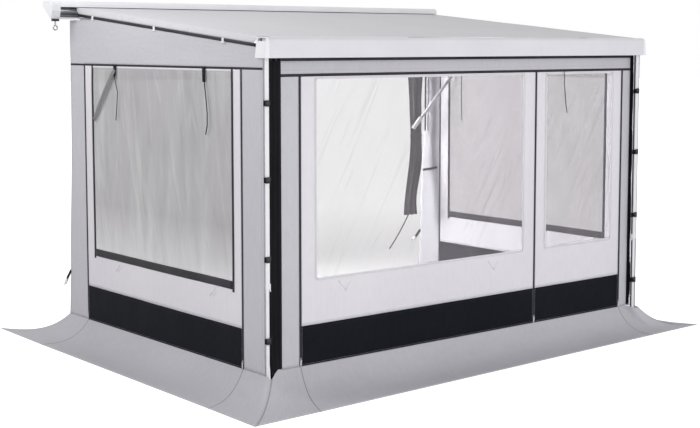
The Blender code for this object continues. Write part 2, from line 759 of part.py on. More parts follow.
def neck(side, radius, low, high, reach):
    """A plate that spreads from a pivot's disc to the width of the arm tube."""
    inner = side * (ARM_OFFSET - ARM_WIDTH / 2 + RUNNING_GAP)
    outer = side * (ARM_OFFSET + ARM_WIDTH / 2 - RUNNING_GAP)
    outline = [(reach, inner), (reach, outer), (NECK_LENGTH / 2, side * radius)]
    outline += arc((0.0, 0.0), radius, 90 * side, 270 * side, CORNER_STEPS * 2)
    return slab(outline, low, high, "Z")


def build_arm(side):
    name = "left" if side < 0 else "right"
    mirror = -side
    tall = ARM_THICKNESS / 2
    tongue = TONGUE_THICKNESS / 2
    fork_low = tongue + RUNNING_GAP
    shoulder = arm_plane(side * ARM_X, 0.0, 0.0)
    half_reach = ARM_REACH / 2
    elbow_x = side * (ARM_X - ELBOW_SIDE)
    elbow = arm_plane(elbow_x, -half_reach, 0.0)
    wrist = arm_plane(side * ARM_X, -ARM_REACH, 0.0)
    into = math.sin(ARM_BEND) * -side
    upper_frame = arm_frame(shoulder, (into, -math.cos(ARM_BEND)))
    fore_frame = arm_frame(elbow, (-into, -math.cos(ARM_BEND)))
    hole = ARM_PIN_RADIUS + RUNNING_GAP
    reach = TUBE_START + OVERRUN
    tube_end = ARM_LINK - TUBE_START

    # upper arm: a tongue at the shoulder, a fork with its pin at the elbow
    tube = put(arm_tube(mirror, TUBE_START, tube_end), upper_frame)
    upper = add_object(f"upper_arm_{name}", tube, POWDER_WHITE)
    join(upper, put(neck(mirror, KNUCKLE_RADIUS, -tongue, tongue, reach), upper_frame))
    cut(upper, put(rod(hole, (0, 0, -tall), (0, 0, tall), SMALL_ROUND_SIDES), upper_frame))
    flip = upper_frame @ Matrix.Translation((ARM_LINK, 0, 0)) @ Matrix.Rotation(math.pi, 4, "Z")
    fork_high = tall - RUNNING_GAP
    for low, high in ((-fork_high, -fork_low), (fork_low, fork_high)):
        join(upper, put(neck(-mirror, ELBOW_RADIUS, low, high, reach), flip))
    head = tall + RUNNING_GAP
    join(upper, put(rod(ARM_PIN_RADIUS, (0, 0, -head), (0, 0, head), SMALL_ROUND_SIDES), flip))

    # forearm: a tongue at each end
    tube = put(arm_tube(mirror, TUBE_START, tube_end), fore_frame)
    fore = add_object(f"forearm_{name}", tube, POWDER_WHITE)
    join(fore, put(neck(mirror, ELBOW_RADIUS, -tongue, tongue, reach), fore_frame))
    cut(fore, put(rod(hole, (0, 0, -tall), (0, 0, tall), SMALL_ROUND_SIDES), fore_frame))
    flip = fore_frame @ Matrix.Translation((ARM_LINK, 0, 0)) @ Matrix.Rotation(math.pi, 4, "Z")
    join(fore, put(neck(-mirror, KNUCKLE_RADIUS, -tongue, tongue, reach), flip))
    cut(fore, put(rod(hole, (0, 0, -tall), (0, 0, tall), SMALL_ROUND_SIDES), flip))

    pivot(f"shoulder_{name}", shoulder, [upper])
    pivot(f"elbow_{name}", elbow, [fore])
    build_shoulder_bracket(side, name, shoulder)
    build_wrist_bracket(side, name, wrist)


def bracket_plates(width, back_reach, front_reach):
    """Two plates above and below a tongue, and the pin through it, in the arm plane."""
    tongue = TONGUE_THICKNESS / 2 + RUNNING_GAP
    pin_end = tongue + PLATE_THICKNESS / 2
    outline = [(-width, back_reach), (width, back_reach), (width, 0.0)]
    outline += arc((0.0, 0.0), width, 0, -180, CORNER_STEPS * 2)[1:]
    if front_reach < 0:
        outline = [(-a, -b) for a, b in outline]
    return (
        slab(outline, tongue, tongue + PLATE_THICKNESS, "Z"),
        slab(outline, -tongue - PLATE_THICKNESS, -tongue, "Z"),
        rod(ARM_PIN_RADIUS, (0, 0, -pin_end), (0, 0, pin_end), SMALL_ROUND_SIDES),
    )


def build_shoulder_bracket(side, name, shoulder):
    """The bracket on the case floor whose plates hold the upper arm."""
    frame = arm_frame(shoulder, (1.0, 0.0))
    width = KNUCKLE_RADIUS
    back = KNUCKLE_RADIUS + PLATE_THICKNESS
    upper, lower, pin = bracket_plates(width, back, 1)
    tongue = TONGUE_THICKNESS / 2 + RUNNING_GAP
    piece = add_object(f"shoulder_bracket_{name}", put(lower, frame), CAST_GREY)
    join(piece, put(upper, frame))
    join(piece, put(pin, frame))
    web_back = back
    web_front = back - PLATE_THICKNESS + RUNNING_GAP * 2
    web = block((-width, web_front, -tongue - PLATE_THICKNESS), (width, web_back, tongue + PLATE_THICKNESS))
    join(piece, put(web, frame))
    floor_z = -CASE_HEIGHT / 2 + CASE_WALL + GAP
    drop = shoulder.z - floor_z
    low = -drop / math.cos(SLOPE) + PLATE_THICKNESS * math.sin(SLOPE)
    foot = block((-width, -PLATE_THICKNESS / 2, low), (width, width, -tongue - PLATE_THICKNESS / 2))
    join(piece, put(foot, frame))


def build_wrist_bracket(side, name, wrist):
    """The bracket on the back of the rail whose plates hold the forearm."""
    frame = arm_frame(wrist, (1.0, 0.0))
    width = KNUCKLE_RADIUS
    reach = WRIST_STANDOFF / math.cos(SLOPE)
    upper, lower, pin = bracket_plates(width, reach - PLATE_THICKNESS / 2, -1)
    piece = add_object(f"wrist_bracket_{name}", put(lower, frame), CAST_GREY)
    join(piece, put(upper, frame))
    join(piece, put(pin, frame))
    back = RAIL_BACK_Y + GAP
    tall = ARM_THICKNESS / 2
    # the pad is cut square so that it lies flat on the rail's back
    pad = block(
        (wrist.x - WRIST_PAD_HALF_LENGTH, back, wrist.z - tall - PLATE_THICKNESS),
        (wrist.x + WRIST_PAD_HALF_LENGTH, back + PLATE_THICKNESS, wrist.z + tall + PLATE_THICKNESS / 2),
    )
    join(piece, pad)


# legs

def rounded_rectangle(width, depth, radius, x=0.0, y=0.0):
    a, b = width / 2 - radius, depth / 2 - radius
    outline = []
    for cx, cy, start in ((a, b, 0), (-a, b, 90), (-a, -b, 180), (a, -b, 270)):
        outline += arc((x + cx, y + cy), radius, start, start + 90, TUBE_CORNER_STEPS)
    return outline


def build_leg(side):
    name = "left" if side < 0 else "right"
    x, y = side * LEG_X, LEG_Y
    inward = -side
    pivot_z = at_height(LEG_PIVOT_HEIGHT)
    bore_width, bore_depth = LEG_WIDTH - 2 * LEG_WALL, LEG_DEPTH - 2 * LEG_WALL
    foot_z = at_height(LEG_OUTER_BOTTOM)

    # outer tube with a rounded top, a groove on its inner side and a collar at its foot
    outline = [(x - LEG_WIDTH / 2, foot_z), (x + LEG_WIDTH / 2, foot_z)]
    outline += [(x + a, pivot_z + b) for a, b in arc((0.0, 0.0), LEG_WIDTH / 2, 0, 180, CORNER_STEPS * 2)]
    tube = slab(outline, y - LEG_DEPTH / 2, y + LEG_DEPTH / 2, "Y")
    outer = add_object(f"leg_outer_{name}", tube, POWDER_WHITE, smooth=True)
    edge = outer.modifiers.new("rounded_corners", "BEVEL")
    edge.width = LEG_WALL
    edge.segments = 2
    edge.limit_method = "ANGLE"
    edge.angle_limit = BEVEL_LIMIT
    collar = rounded_rectangle(LEG_WIDTH + 2 * COLLAR_WALL, LEG_DEPTH + 2 * COLLAR_WALL, COLLAR_RADIUS, x, y)
    join(outer, slab(collar, foot_z - GAP, foot_z + COLLAR_HEIGHT, "Z"))
    bore = rounded_rectangle(bore_width, bore_depth, LEG_WALL, x, y)
    cut(outer, slab(bore, foot_z - OVERRUN, at_height(LEG_BORE_TOP), "Z"))
    groove_x = x + inward * LEG_WIDTH / 2
    groove = block(
        (groove_x - LEG_GROOVE_DEPTH, y - LEG_GROOVE_WIDTH / 2, foot_z + COLLAR_HEIGHT + LEVER_LENGTH),
        (groove_x + LEG_GROOVE_DEPTH, y + LEG_GROOVE_WIDTH / 2, pivot_z - LEG_WIDTH),
    )
    cut(outer, groove)
    through = (x, y - LEG_DEPTH, pivot_z), (x, y + LEG_DEPTH, pivot_z)
    cut(outer, rod(PIVOT_PIN_RADIUS + RUNNING_GAP, *through, SMALL_ROUND_SIDES))

    # inner tube, solid at its foot, where a fork takes the foot's lug
    slack = 2 * RUNNING_GAP
    inner_outline = rounded_rectangle(bore_width - slack, bore_depth - slack, LEG_WALL, x, y)
    fork_z = at_height(FOOT_THICKNESS + FOOT_LUG_HEIGHT - FOOT_FORK_HEIGHT)
    tube = slab(inner_outline, fork_z, at_height(LEG_INNER_TOP), "Z")
    inner = add_object(f"leg_inner_{name}", tube, POWDER_WHITE, smooth=True)
    core = rounded_rectangle(bore_width - 2 * LEG_WALL, bore_depth - 2 * LEG_WALL, LEG_WALL / 2, x, y)
    cut(inner, slab(core, at_height(LEG_OUTER_BOTTOM), at_height(LEG_INNER_TOP) + OVERRUN, "Z"))
    slot = FOOT_LUG_WIDTH / 2 + RUNNING_GAP
    fork_top = fork_z + FOOT_FORK_HEIGHT * 2
    cut(
        inner,
        block((x - slot, y - LEG_DEPTH, fork_z - OVERRUN), (x + slot, y + LEG_DEPTH, fork_top)),
    )
    pin_z = fork_z + FOOT_FORK_HEIGHT
    pin_reach = bore_width / 2 - slack
    join(inner, rod(FOOT_PIN_RADIUS, (x - pin_reach, y, pin_z), (x + pin_reach, y, pin_z), SMALL_ROUND_SIDES))

    # foot: a ribbed disc with a lug that swivels on the inner tube's pin
    foot = add_object(
        f"leg_foot_{name}",
        rod(FOOT_RADIUS, (x, y, at_height(0.0)), (x, y, at_height(FOOT_THICKNESS))),
        PLASTIC_BLACK,
        smooth=True,
    )
    lug_half = bore_depth / 2 - LEG_WALL
    lug = [(y - lug_half, at_height(FOOT_THICKNESS / 2)), (y + lug_half, at_height(FOOT_THICKNESS / 2))]
    lug += [(y + a, pin_z + b) for a, b in arc((0.0, 0.0), lug_half, 0, 180, CORNER_STEPS)]
    join(foot, slab(lug, x - FOOT_LUG_WIDTH / 2, x + FOOT_LUG_WIDTH / 2, "X"))
    through = (x - FOOT_LUG_WIDTH, y, pin_z), (x + FOOT_LUG_WIDTH, y, pin_z)
    cut(foot, rod(FOOT_PIN_RADIUS + RUNNING_GAP, *through, SMALL_ROUND_SIDES))

    # clamp lever beside the collar
    lever_x = x + inward * (LEG_WIDTH / 2 + COLLAR_WALL + GAP)
    lever_top = foot_z + COLLAR_HEIGHT - GAP
    lever_low = lever_top - LEVER_LENGTH
    out = lever_x + inward * LEVER_THICKNESS
    profile = [
        (lever_x, lever_top),
        (out, lever_top),
        (out, lever_low + LEVER_THICKNESS),
        (out + inward * LEVER_THICKNESS / 2, lever_low),
        (lever_x, lever_low),
    ]
    lever = add_object(
        f"clamp_lever_{name}", slab(profile, y - LEVER_WIDTH / 2, y + LEVER_WIDTH / 2, "Y"), PLASTIC_WHITE
    )
    pivot(f"lever_axis_{name}", (lever_x, y, lever_top), [lever])

    build_leg_pivot(side, name, x, y, pivot_z)
    pivot(f"leg_axis_{name}", (x, y, pivot_z), [outer])
    pivot(f"slide_axis_{name}", (x, y, foot_z), [inner])
    pivot(f"foot_axis_{name}", (x, y, pin_z), [foot])


def build_leg_pivot(side, name, x, y, pivot_z):
    """Hangs the leg's pin from the roof of the rail, with a plate on each side of the tube."""
    roof = at_height(RAIL_TOP) - RAIL_WALL - GAP
    end = RAIL_HALF_LENGTH - RAIL_CAP_TAPER - GAP * 2
    inner_x = x - side * PIVOT_BLOCK_WIDTH
    clear = LEG_DEPTH / 2 + RUNNING_GAP
    top_clear = pivot_z + LEG_WIDTH / 2 + RUNNING_GAP * 2
    low_x, high_x = sorted((inner_x, side * end))
    body = block((low_x, y - clear - PIVOT_PLATE, top_clear), (high_x, y + clear + PIVOT_PLATE, roof))
    piece = add_object(f"leg_pivot_{name}", body, PLASTIC_WHITE)
    for near in (-1, 1):
        face = y + near * clear
        plate_low, plate_high = sorted((face, face + near * PIVOT_PLATE))
        half = PIVOT_EAR_RADIUS
        outline = [(x - half, top_clear + RAIL_WALL), (x + half, top_clear + RAIL_WALL)]
        outline += [(x + a, pivot_z + b) for a, b in arc((0.0, 0.0), half, 0, -180, CORNER_STEPS)]
        join(piece, slab(outline, plate_low, plate_high, "Y"))
    pin = rod(
        PIVOT_PIN_RADIUS,
        (x, y - clear - PIVOT_PLATE / 2, pivot_z),
        (x, y + clear + PIVOT_PLATE / 2, pivot_z),
        SMALL_ROUND_SIDES,
    )
    join(piece, pin)


# front wall

def build_front():
    inner_y = WALL_Y + FABRIC
    top = at_height(RAIL_BOTTOM) - GAP
    bottom, zip_z = at_height(ROOM_BOTTOM), at_height(TOP_ZIP_FRONT)
    wall = [
        (WALL_LEFT, bottom),
        (WALL_LEFT, top),
        (WALL_RIGHT, top),
        (WALL_RIGHT, bottom),
        (ZIP_RIGHT, bottom),
        (ZIP_RIGHT, zip_z),
        (ZIP_LEFT, zip_z),
        (ZIP_LEFT, bottom),
    ]
    add_object("front_wall", slab(wall, WALL_Y, inner_y, "Y"), CLOTH_GREY)
    for name, left, right, film_left, film_right in (
        ("front", ZIP_LEFT, ZIP_DOOR, FRONT_FILM_LEFT, FRONT_FILM_RIGHT),
        ("door", ZIP_DOOR, ZIP_RIGHT, DOOR_FILM_LEFT, DOOR_FILM_RIGHT),
    ):
        panel = (left + GAP, at_height(BAND_TOP), right - GAP, zip_z - GAP)
        film = (film_left, at_height(FILM_BOTTOM_FRONT), film_right, at_height(FILM_TOP_FRONT))
        hole = (film[0] - GAP, film[1] - GAP, film[2] + GAP, film[3] + GAP)
        add_object(f"{name}_panel", window_plate(panel, hole, WALL_Y, inner_y, "Y"), CLOTH_LIGHT)
        film_y = WALL_Y + (FABRIC - FILM) / 2
        pane = block((film[0], film_y, film[1]), (film[2], film_y + FILM, film[3]))
        add_object(f"{name}_window", pane, CLEAR_FILM)
        add_object(
            f"{name}_band",
            block((left + GAP, WALL_Y, bottom), (right - GAP, inner_y, at_height(BAND_TOP) - GAP)),
            CLOTH_BLACK,
        )


# side walls

def build_side(side):
    name = "left" if side < 0 else "right"
    low, high = sorted((side * SIDE_X, side * (SIDE_X - FABRIC)))
    bottom, zip_z = at_height(ROOM_BOTTOM), at_height(TOP_ZIP_SIDE)
    under = KEDER_HEIGHT / 2 + GAP
    case_foot = -CASE_HEIGHT / 2 - OVERRUN * 2
    outline = [
        (SIDE_FRONT_Y, bottom),
        (SIDE_FRONT_Y, at_height(RAIL_BOTTOM) - GAP),
        (FLAP_END_Y, at_height(RAIL_BOTTOM) - GAP),
        (FLAP_END_Y, at_height(keder_height(FLAP_END_Y)) - under),
        (FLAP_START_Y, at_height(keder_height(FLAP_START_Y)) - under),
        (FLAP_START_Y, case_foot),
        (SIDE_REAR_Y, case_foot),
        (SIDE_REAR_Y, at_height((TOP_ZIP_SIDE + SIDE_BULGE_HEIGHT) / 2)),
        (SIDE_BULGE_Y, at_height(SIDE_BULGE_HEIGHT)),
        (SIDE_FOOT_Y, bottom),
        (ZIP_SIDE_REAR, bottom),
        (ZIP_SIDE_REAR, zip_z),
        (ZIP_SIDE_FRONT, zip_z),
        (ZIP_SIDE_FRONT, bottom),
    ]
    add_object(f"side_wall_{name}", slab(outline, low, high, "X"), CLOTH_GREY)
    panel = (ZIP_SIDE_FRONT + GAP, at_height(BAND_TOP), ZIP_SIDE_REAR - GAP, zip_z - GAP)
    film = (SIDE_FILM_FRONT, at_height(SIDE_FILM_BOTTOM), SIDE_FILM_REAR, at_height(SIDE_FILM_TOP))
    hole = (film[0] - GAP, film[1] - GAP, film[2] + GAP, film[3] + GAP)
    add_object(f"side_panel_{name}", window_plate(panel, hole, low, high, "X"), CLOTH_LIGHT)
    inset = (FABRIC - FILM) / 2
    pane = block((low + inset, film[0], film[1]), (high - inset, film[2], film[3]))
    add_object(f"side_window_{name}", pane, CLEAR_FILM)
    add_object(
        f"side_band_{name}",
        block((low, ZIP_SIDE_FRONT + GAP, bottom), (high, ZIP_SIDE_REAR - GAP, at_height(BAND_TOP) - GAP)),
        CLOTH_BLACK,
    )


# skirts

def skirt_profile(down, reach, top, start):
    """(distance from the wall, height) of a skirt at a share of the way down its slope."""
    out = start + (reach - start) * down ** SKIRT_REACH_POWER
    height = SKIRT_LIFT + (top - SKIRT_LIFT) * (1 - down) ** SKIRT_DROP_POWER
    return out, height


def pocket(distance):
    """How far a skirt stands off near a corner, to pass in front of the leg."""
    share = (CORNER_POCKET_WIDTH - distance) / (CORNER_POCKET_WIDTH - CORNER_POCKET_FLAT)
    share = min(1.0, max(0.0, share))
    return share * share * (3 - 2 * share)


def skirt_stations(length, corners):
    """Shares along a skirt's top edge, closer together at its corners."""
    near = [share * CORNER_POCKET_WIDTH / length for share in SKIRT_CORNER_SHARES]
    far_end = 1.0 - near[-1] if corners == 2 else 1.0
    middle = [near[-1] + (far_end - near[-1]) * i / SKIRT_COLUMNS for i in range(1, SKIRT_COLUMNS)]
    return near + middle + ([1.0 - share for share in reversed(near)] if corners == 2 else [1.0])


def skirt_sheet(surface, stations):
    """Gives a skirt surface its thickness, inwards at the wall and down on the ground."""
    front, back = [], []
    for i in range(SKIRT_ROWS + 1):
        down = i / SKIRT_ROWS
        row = [surface(along, down) for along in stations]
        front.append([point for point, _ in row])
        back.append([point - normal * FABRIC for point, normal in row])
    return sheet(front, back)


def skirt_normal(down, outward):
    """Turns from facing outwards at the wall to facing up on the ground."""
    tilt = min(1.0, down / SKIRT_TURN_SHARE) * math.pi / 2
    return outward * math.cos(tilt) + Vector((0.0, 0.0, math.sin(tilt)))


def skirt_ripple(place, down, distance):
    """Shallow waves along a skirt, which die out towards its mitred corners."""
    fade = min(1.0, distance / (2 * CORNER_POCKET_WIDTH)) * math.sin(math.pi * down) ** 2
    return max(0.0, SKIRT_RIPPLE * fade * math.sin(2 * math.pi * place / SKIRT_RIPPLE_PITCH))


def build_front_skirt():
    top = ROOM_BOTTOM - GAP
    width = 2 * SIDE_X
    outward = Vector((0.0, -1.0, 0.0))
    seam = FABRIC + 2 * GAP

    def surface(along, down):
        nearest = width * min(along, 1.0 - along)
        off = pocket(nearest)
        start = CORNER_POCKET_REACH * off
        reach = SKIRT_FRONT_REACH_LEFT + (SKIRT_FRONT_REACH_RIGHT - SKIRT_FRONT_REACH_LEFT) * along
        out, height = skirt_profile(down, reach, top - CORNER_POCKET_DROP * off, start)
        left = -SIDE_X - SKIRT_LEFT_REACH * out / reach + seam
        right = SIDE_X + SKIRT_RIGHT_REACH * out / reach - seam
        x = left + (right - left) * along
        height += skirt_ripple(x, down, nearest)
        return Vector((x, WALL_Y - out, at_height(height))), skirt_normal(down, outward)

    add_object("front_skirt", skirt_sheet(surface, skirt_stations(width, 2)), CLOTH_GREY)


def build_side_skirt(side):
    name = "left" if side < 0 else "right"
    reach = SKIRT_LEFT_REACH if side < 0 else SKIRT_RIGHT_REACH
    front_reach = SKIRT_FRONT_REACH_LEFT if side < 0 else SKIRT_FRONT_REACH_RIGHT
    top = ROOM_BOTTOM - GAP
    depth = SIDE_FOOT_Y - WALL_Y
    outward = Vector((float(side), 0.0, 0.0))

    def surface(along, down):
        off = pocket(depth * along)
        start = CORNER_POCKET_REACH * off * reach / front_reach
        out, height = skirt_profile(down, reach, top - CORNER_POCKET_DROP * off, start)
        front = WALL_Y - front_reach * out / reach + 2 * GAP
        rear = SIDE_FOOT_Y + SKIRT_REAR_REACH * out / reach
        y = front + (rear - front) * along
        height += skirt_ripple(y, down, depth * along)
        return Vector((side * (SIDE_X + out), y, at_height(height))), skirt_normal(down, outward)

    add_object(f"side_skirt_{name}", skirt_sheet(surface, skirt_stations(depth, 1)), CLOTH_GREY)


# corner strips, straps and sliders

def build_corner_strip(side):
    """A strip beside the leg, with webbing loops round the leg."""
    name = "left" if side < 0 else "right"
    outer = side * (SIDE_X - FABRIC - STRIP_CLEAR)
    inner = WALL_LEFT - GAP if side < 0 else WALL_RIGHT + GAP
    low, high = sorted((outer, inner))
    folds = max(1, round((high - low) / STRIP_FOLD_WIDTH))
    steps = folds * FOLD_STEPS
    wave = []
    for i in range(steps + 1):
        depth = STRIP_FOLD_DEPTH * math.sin(math.pi * folds * i / steps) ** 2
        wave.append((low + (high - low) * i / steps, WALL_Y - depth))
    outline = wave + [(x, y + FABRIC) for x, y in reversed(wave)]
    cloth = slab(outline, at_height(STRIP_BOTTOM), at_height(STRIP_TOP), "Z")
    piece = add_object(f"corner_strip_{name}", cloth, CLOTH_BLACK)
    x = side * LEG_X
    wide = LEG_WIDTH / 2 + LOOP_SLACK
    front = LEG_Y - LEG_DEPTH / 2 - LOOP_SLACK
    sewn = WALL_Y + FABRIC / 2
    left_end = sewn if side < 0 else WALL_Y - GAP
    for share in LOOP_SHARES:
        level = at_height(share * STRIP_TOP)
        ring = [
            (x - wide - LOOP_THICKNESS, left_end),
            (x - wide - LOOP_THICKNESS, front - LOOP_THICKNESS),
            (x + wide + LOOP_THICKNESS, front - LOOP_THICKNESS),
            (x + wide + LOOP_THICKNESS, sewn),
            (x + wide, sewn),
            (x + wide, front),
            (x - wide, front),
            (x - wide, left_end),
        ]
        join(piece, slab(ring, level - LOOP_HEIGHT / 2, level + LOOP_HEIGHT / 2, "Z"))
    return piece


def slider_mesh(width, length, thickness):
    """A slider body with its pull hanging below, facing -Y, its back at y = 0."""
    half = width / 2
    body = [
        (-half * SLIDER_NOSE_SHARE, 0.0),
        (half * SLIDER_NOSE_SHARE, 0.0),
        (half, length * SLIDER_WAIST_SHARE),
        (half * SLIDER_WAIST_SHARE, length),
        (-half * SLIDER_WAIST_SHARE, length),
        (-half, length * SLIDER_WAIST_SHARE),
    ]
    return slab(body, -thickness, 0.0, "Y")


def build_slider(name, point, facing):
    """A zip slider that lies on a wall's outer face; facing is the wall's outward direction."""
    turn = Vector((0.0, -1.0, 0.0)).rotation_difference(facing).to_matrix().to_4x4()
    frame = Matrix.Translation(point) @ turn
    body = slider_mesh(SLIDER_WIDTH, SLIDER_LENGTH, SLIDER_THICKNESS)
    piece = add_object(name, put(body, frame), PLASTIC_BLACK)
    half, eye = PULL_WIDTH / 2, SLIDER_LENGTH / 2
    pull = [(-half, eye), (half, eye), (half, -PULL_LENGTH), (-half, -PULL_LENGTH)]
    join(piece, put(slab(pull, -SLIDER_THICKNESS - PULL_THICKNESS, -SLIDER_THICKNESS / 2, "Y"), frame))
    pivot(f"{name}_axis", point, [piece])


def build_sliders():
    z = at_height(ROOM_BOTTOM) + PULL_LENGTH + GAP
    for word, x in (("front", ZIP_LEFT), ("door", ZIP_DOOR), ("corner", ZIP_RIGHT)):
        build_slider(f"zip_slider_{word}", Vector((x, WALL_Y - GAP, z)), Vector((0.0, -1.0, 0.0)))
    for side, word in ((-1, "left"), (1, "right")):
        for end, y in (("front", ZIP_SIDE_FRONT), ("rear", ZIP_SIDE_REAR)):
            point = Vector((side * (SIDE_X + GAP), y, z))
            build_slider(f"zip_slider_{word}_{end}", point, Vector((float(side), 0.0, 0.0)))


def build_rear_strap(side):
    """The strap and clip that pull the rear edge of a side wall against the vehicle."""
    name = "left" if side < 0 else "right"
    start = Vector((side * (SIDE_X + GAP), STRAP_TOP_Y - STRAP_WIDTH, at_height(STRAP_TOP_HEIGHT)))
    end = Vector((side * (SIDE_X + GAP), STRAP_END_Y, at_height(STRAP_END_HEIGHT)))
    along = (end - start).normalized()
    across = along.cross(Vector((1.0, 0.0, 0.0))) * STRAP_WIDTH / 2
    outline = [start + across, end + across, end - across, start - across]
    low, high = sorted((side * (SIDE_X + GAP), side * (SIDE_X + GAP + STRAP_THICKNESS)))
    strap = add_object(f"rear_strap_{name}", slab([(p.y, p.z) for p in outline], low, high, "X"), CLOTH_BLACK)
    wide = across * CLIP_WIDTH / STRAP_WIDTH
    narrow = wide * CLIP_TIP_SHARE
    tip = end + along * CLIP_LENGTH
    sewn = end - along * OVERRUN
    lock = [(p.y, p.z) for p in (sewn + wide, tip + narrow, tip - narrow, sewn - wide)]
    middle = (low + high) / 2
    join(strap, slab(lock, middle - CLIP_THICKNESS / 2, middle + CLIP_THICKNESS / 2, "X"))


def build():
    clear_objects()
    build_case()
    build_wall_adapter()
    build_roller()
    build_gearbox()
    build_canopy()
    build_rail()
    build_front()
    build_front_skirt()
    build_sliders()
    for side in (-1, 1):
        build_keder(side)
        build_arm(side)
        build_leg(side)
        build_side(side)
        build_side_skirt(side)
        build_corner_strip(side)
        build_rear_strap(side)


build()
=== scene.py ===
"""Looks of a caravan awning with a zipped-on room.

Metres, Z up. X runs along the lead rail, the vehicle stands on the +Y side, and heights
above the ground are turned into Z by level().
"""
import math
from functools import partial

import bmesh
import bpy
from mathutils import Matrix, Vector, noise


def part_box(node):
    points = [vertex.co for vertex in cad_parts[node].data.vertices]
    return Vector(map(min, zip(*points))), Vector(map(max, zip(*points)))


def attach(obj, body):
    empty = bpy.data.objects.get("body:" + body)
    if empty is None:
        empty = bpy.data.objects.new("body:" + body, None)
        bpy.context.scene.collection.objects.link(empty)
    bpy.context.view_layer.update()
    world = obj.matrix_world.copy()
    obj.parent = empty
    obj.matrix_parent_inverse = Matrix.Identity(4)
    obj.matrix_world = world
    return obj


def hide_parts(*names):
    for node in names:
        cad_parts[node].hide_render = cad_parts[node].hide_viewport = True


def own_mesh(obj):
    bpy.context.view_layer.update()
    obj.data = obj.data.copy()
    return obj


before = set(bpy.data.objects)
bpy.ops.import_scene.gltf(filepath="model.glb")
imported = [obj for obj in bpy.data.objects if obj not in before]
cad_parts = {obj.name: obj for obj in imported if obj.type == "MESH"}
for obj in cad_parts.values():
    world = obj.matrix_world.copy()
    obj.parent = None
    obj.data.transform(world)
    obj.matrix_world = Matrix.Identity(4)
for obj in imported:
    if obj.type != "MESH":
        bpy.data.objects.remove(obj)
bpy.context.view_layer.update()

FRONT_BODY = "lead_rail_and_front"
CASE_BODY = "cassette"
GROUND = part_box("leg_foot_left")[0].z
SLOPE = math.radians(5.5)
RISE = math.tan(SLOPE)



def rim_of(window, way):
    """A window's range along its wall, X being way 0 and Y way 1, and then its heights."""
    low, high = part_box(window)
    return low[way], high[way], low.z, high.z


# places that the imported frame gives
WALL_LOW, WALL_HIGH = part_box("front_wall")
PANEL_LOW, PANEL_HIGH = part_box("front_panel")
DOOR_LOW, DOOR_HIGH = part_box("door_panel")
SIDE_LOW, SIDE_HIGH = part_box("side_wall_left")
SIDE_PANEL_LOW, SIDE_PANEL_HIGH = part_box("side_panel_left")
SIDE_RIM = rim_of("side_window_left", 1)
CANOPY_LOW, CANOPY_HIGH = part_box("canopy")
KEDER_LOW, KEDER_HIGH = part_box("keder_strip_left")
RAIL_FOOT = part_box("lead_rail")[0].z
LEG_LOW, LEG_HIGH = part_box("leg_outer_right")

WALL_Y = WALL_LOW.y
SIDE_X = -SIDE_LOW.x
LEG_X = (LEG_LOW.x + LEG_HIGH.x) / 2
LEG_Y = (LEG_LOW.y + LEG_HIGH.y) / 2
HEM_Z = WALL_LOW.z
BAND_Z = PANEL_LOW.z
TOP_ZIP_Z = PANEL_HIGH.z
SIDE_ZIP_Z = SIDE_PANEL_HIGH.z
ZIP_LEFT = PANEL_LOW.x
ZIP_DOOR = DOOR_LOW.x
ZIP_RIGHT = DOOR_HIGH.x
# the surround laps over the black corner strips
FRONT_LEFT = WALL_LOW.x - 0.032
FRONT_RIGHT = WALL_HIGH.x + 0.004
# the front's bays: each from zip to zip, with the rim of its window
BAYS = {"front": ((PANEL_LOW.x, PANEL_HIGH.x), rim_of("front_window", 0)),
        "door": ((DOOR_LOW.x, DOOR_HIGH.x), rim_of("door_window", 0))}
ZIP_SIDE_FRONT = SIDE_PANEL_LOW.y
ZIP_SIDE_REAR = SIDE_PANEL_HIGH.y

CLOTH = 0.0008
FILM = 0.0005
# how far a film laps under its panel, and the least share of its rectangle that a sheet's cut may fill
LAP = 0.012
LEAST_CUT = 0.301
# seams: beside a zip, above the hem, and above the band's top edge
SEAM_OFF = 0.0125
HEM_SEAM = HEM_Z + 0.009
BAND_SEAM = BAND_Z + 0.008
ZIP_WIDTH = 0.017
GRID = 0.024
FRONT_OUT = Vector((0.0, -1.0, 0.0))
UP = Vector((0.0, 0.0, 1.0))
WORDS = {-1: "left", 1: "right"}

# the skirts' front corners on the ground, how far behind the walls they reach, and how steeply they fall
CORNER_LEFT = (-2.045, -2.745)
CORNER_RIGHT = (2.096, -2.615)
REAR_REACH = 0.575
FALL = 3.4


def level(height):
    return GROUND + height


# materials

def linear(hex_colour):
    """An sRGB hex colour as linear RGBA."""
    parts = [int(hex_colour[i:i + 2], 16) / 255 for i in (1, 3, 5)]
    return tuple(v / 12.92 if v <= 0.04045 else ((v + 0.055) / 1.055) ** 2.4 for v in parts) + (1.0,)


def fill(tree, node, inputs):
    """Fills a node's sockets with values or links; a node among them stands for its first output."""
    for key, value in inputs.items():
        if isinstance(value, bpy.types.Node):
            value = value.outputs[0]
        if isinstance(value, bpy.types.NodeSocket):
            tree.links.new(value, node.inputs[key])
        else:
            node.inputs[key].default_value = value


def add(tree, kind, inputs, **settings):
    """Adds a node: settings are its own, inputs fill its sockets."""
    node = tree.nodes.new(kind)
    for name, value in settings.items():
        setattr(node, name, value)
    fill(tree, node, inputs)
    return node


def calculate(tree, operation, *numbers):
    inputs = dict(enumerate(numbers))
    return add(tree, "ShaderNodeMath", inputs, operation=operation)


def spot_on(tree, kind):
    """Where on the piece a point is: UV is its place on the flat cut, Object its place in the frame."""
    return add(tree, "ShaderNodeTexCoord", {}).outputs[kind]


def noise_on(tree, place, scale, detail, **inputs):
    return add(tree, "ShaderNodeTexNoise", {"Vector": place, "Scale": scale, "Detail": detail, **inputs})


def bump(tree, strength, distance, height, **inputs):
    return add(tree, "ShaderNodeBump", {"Strength": strength, "Distance": distance, "Height": height, **inputs})


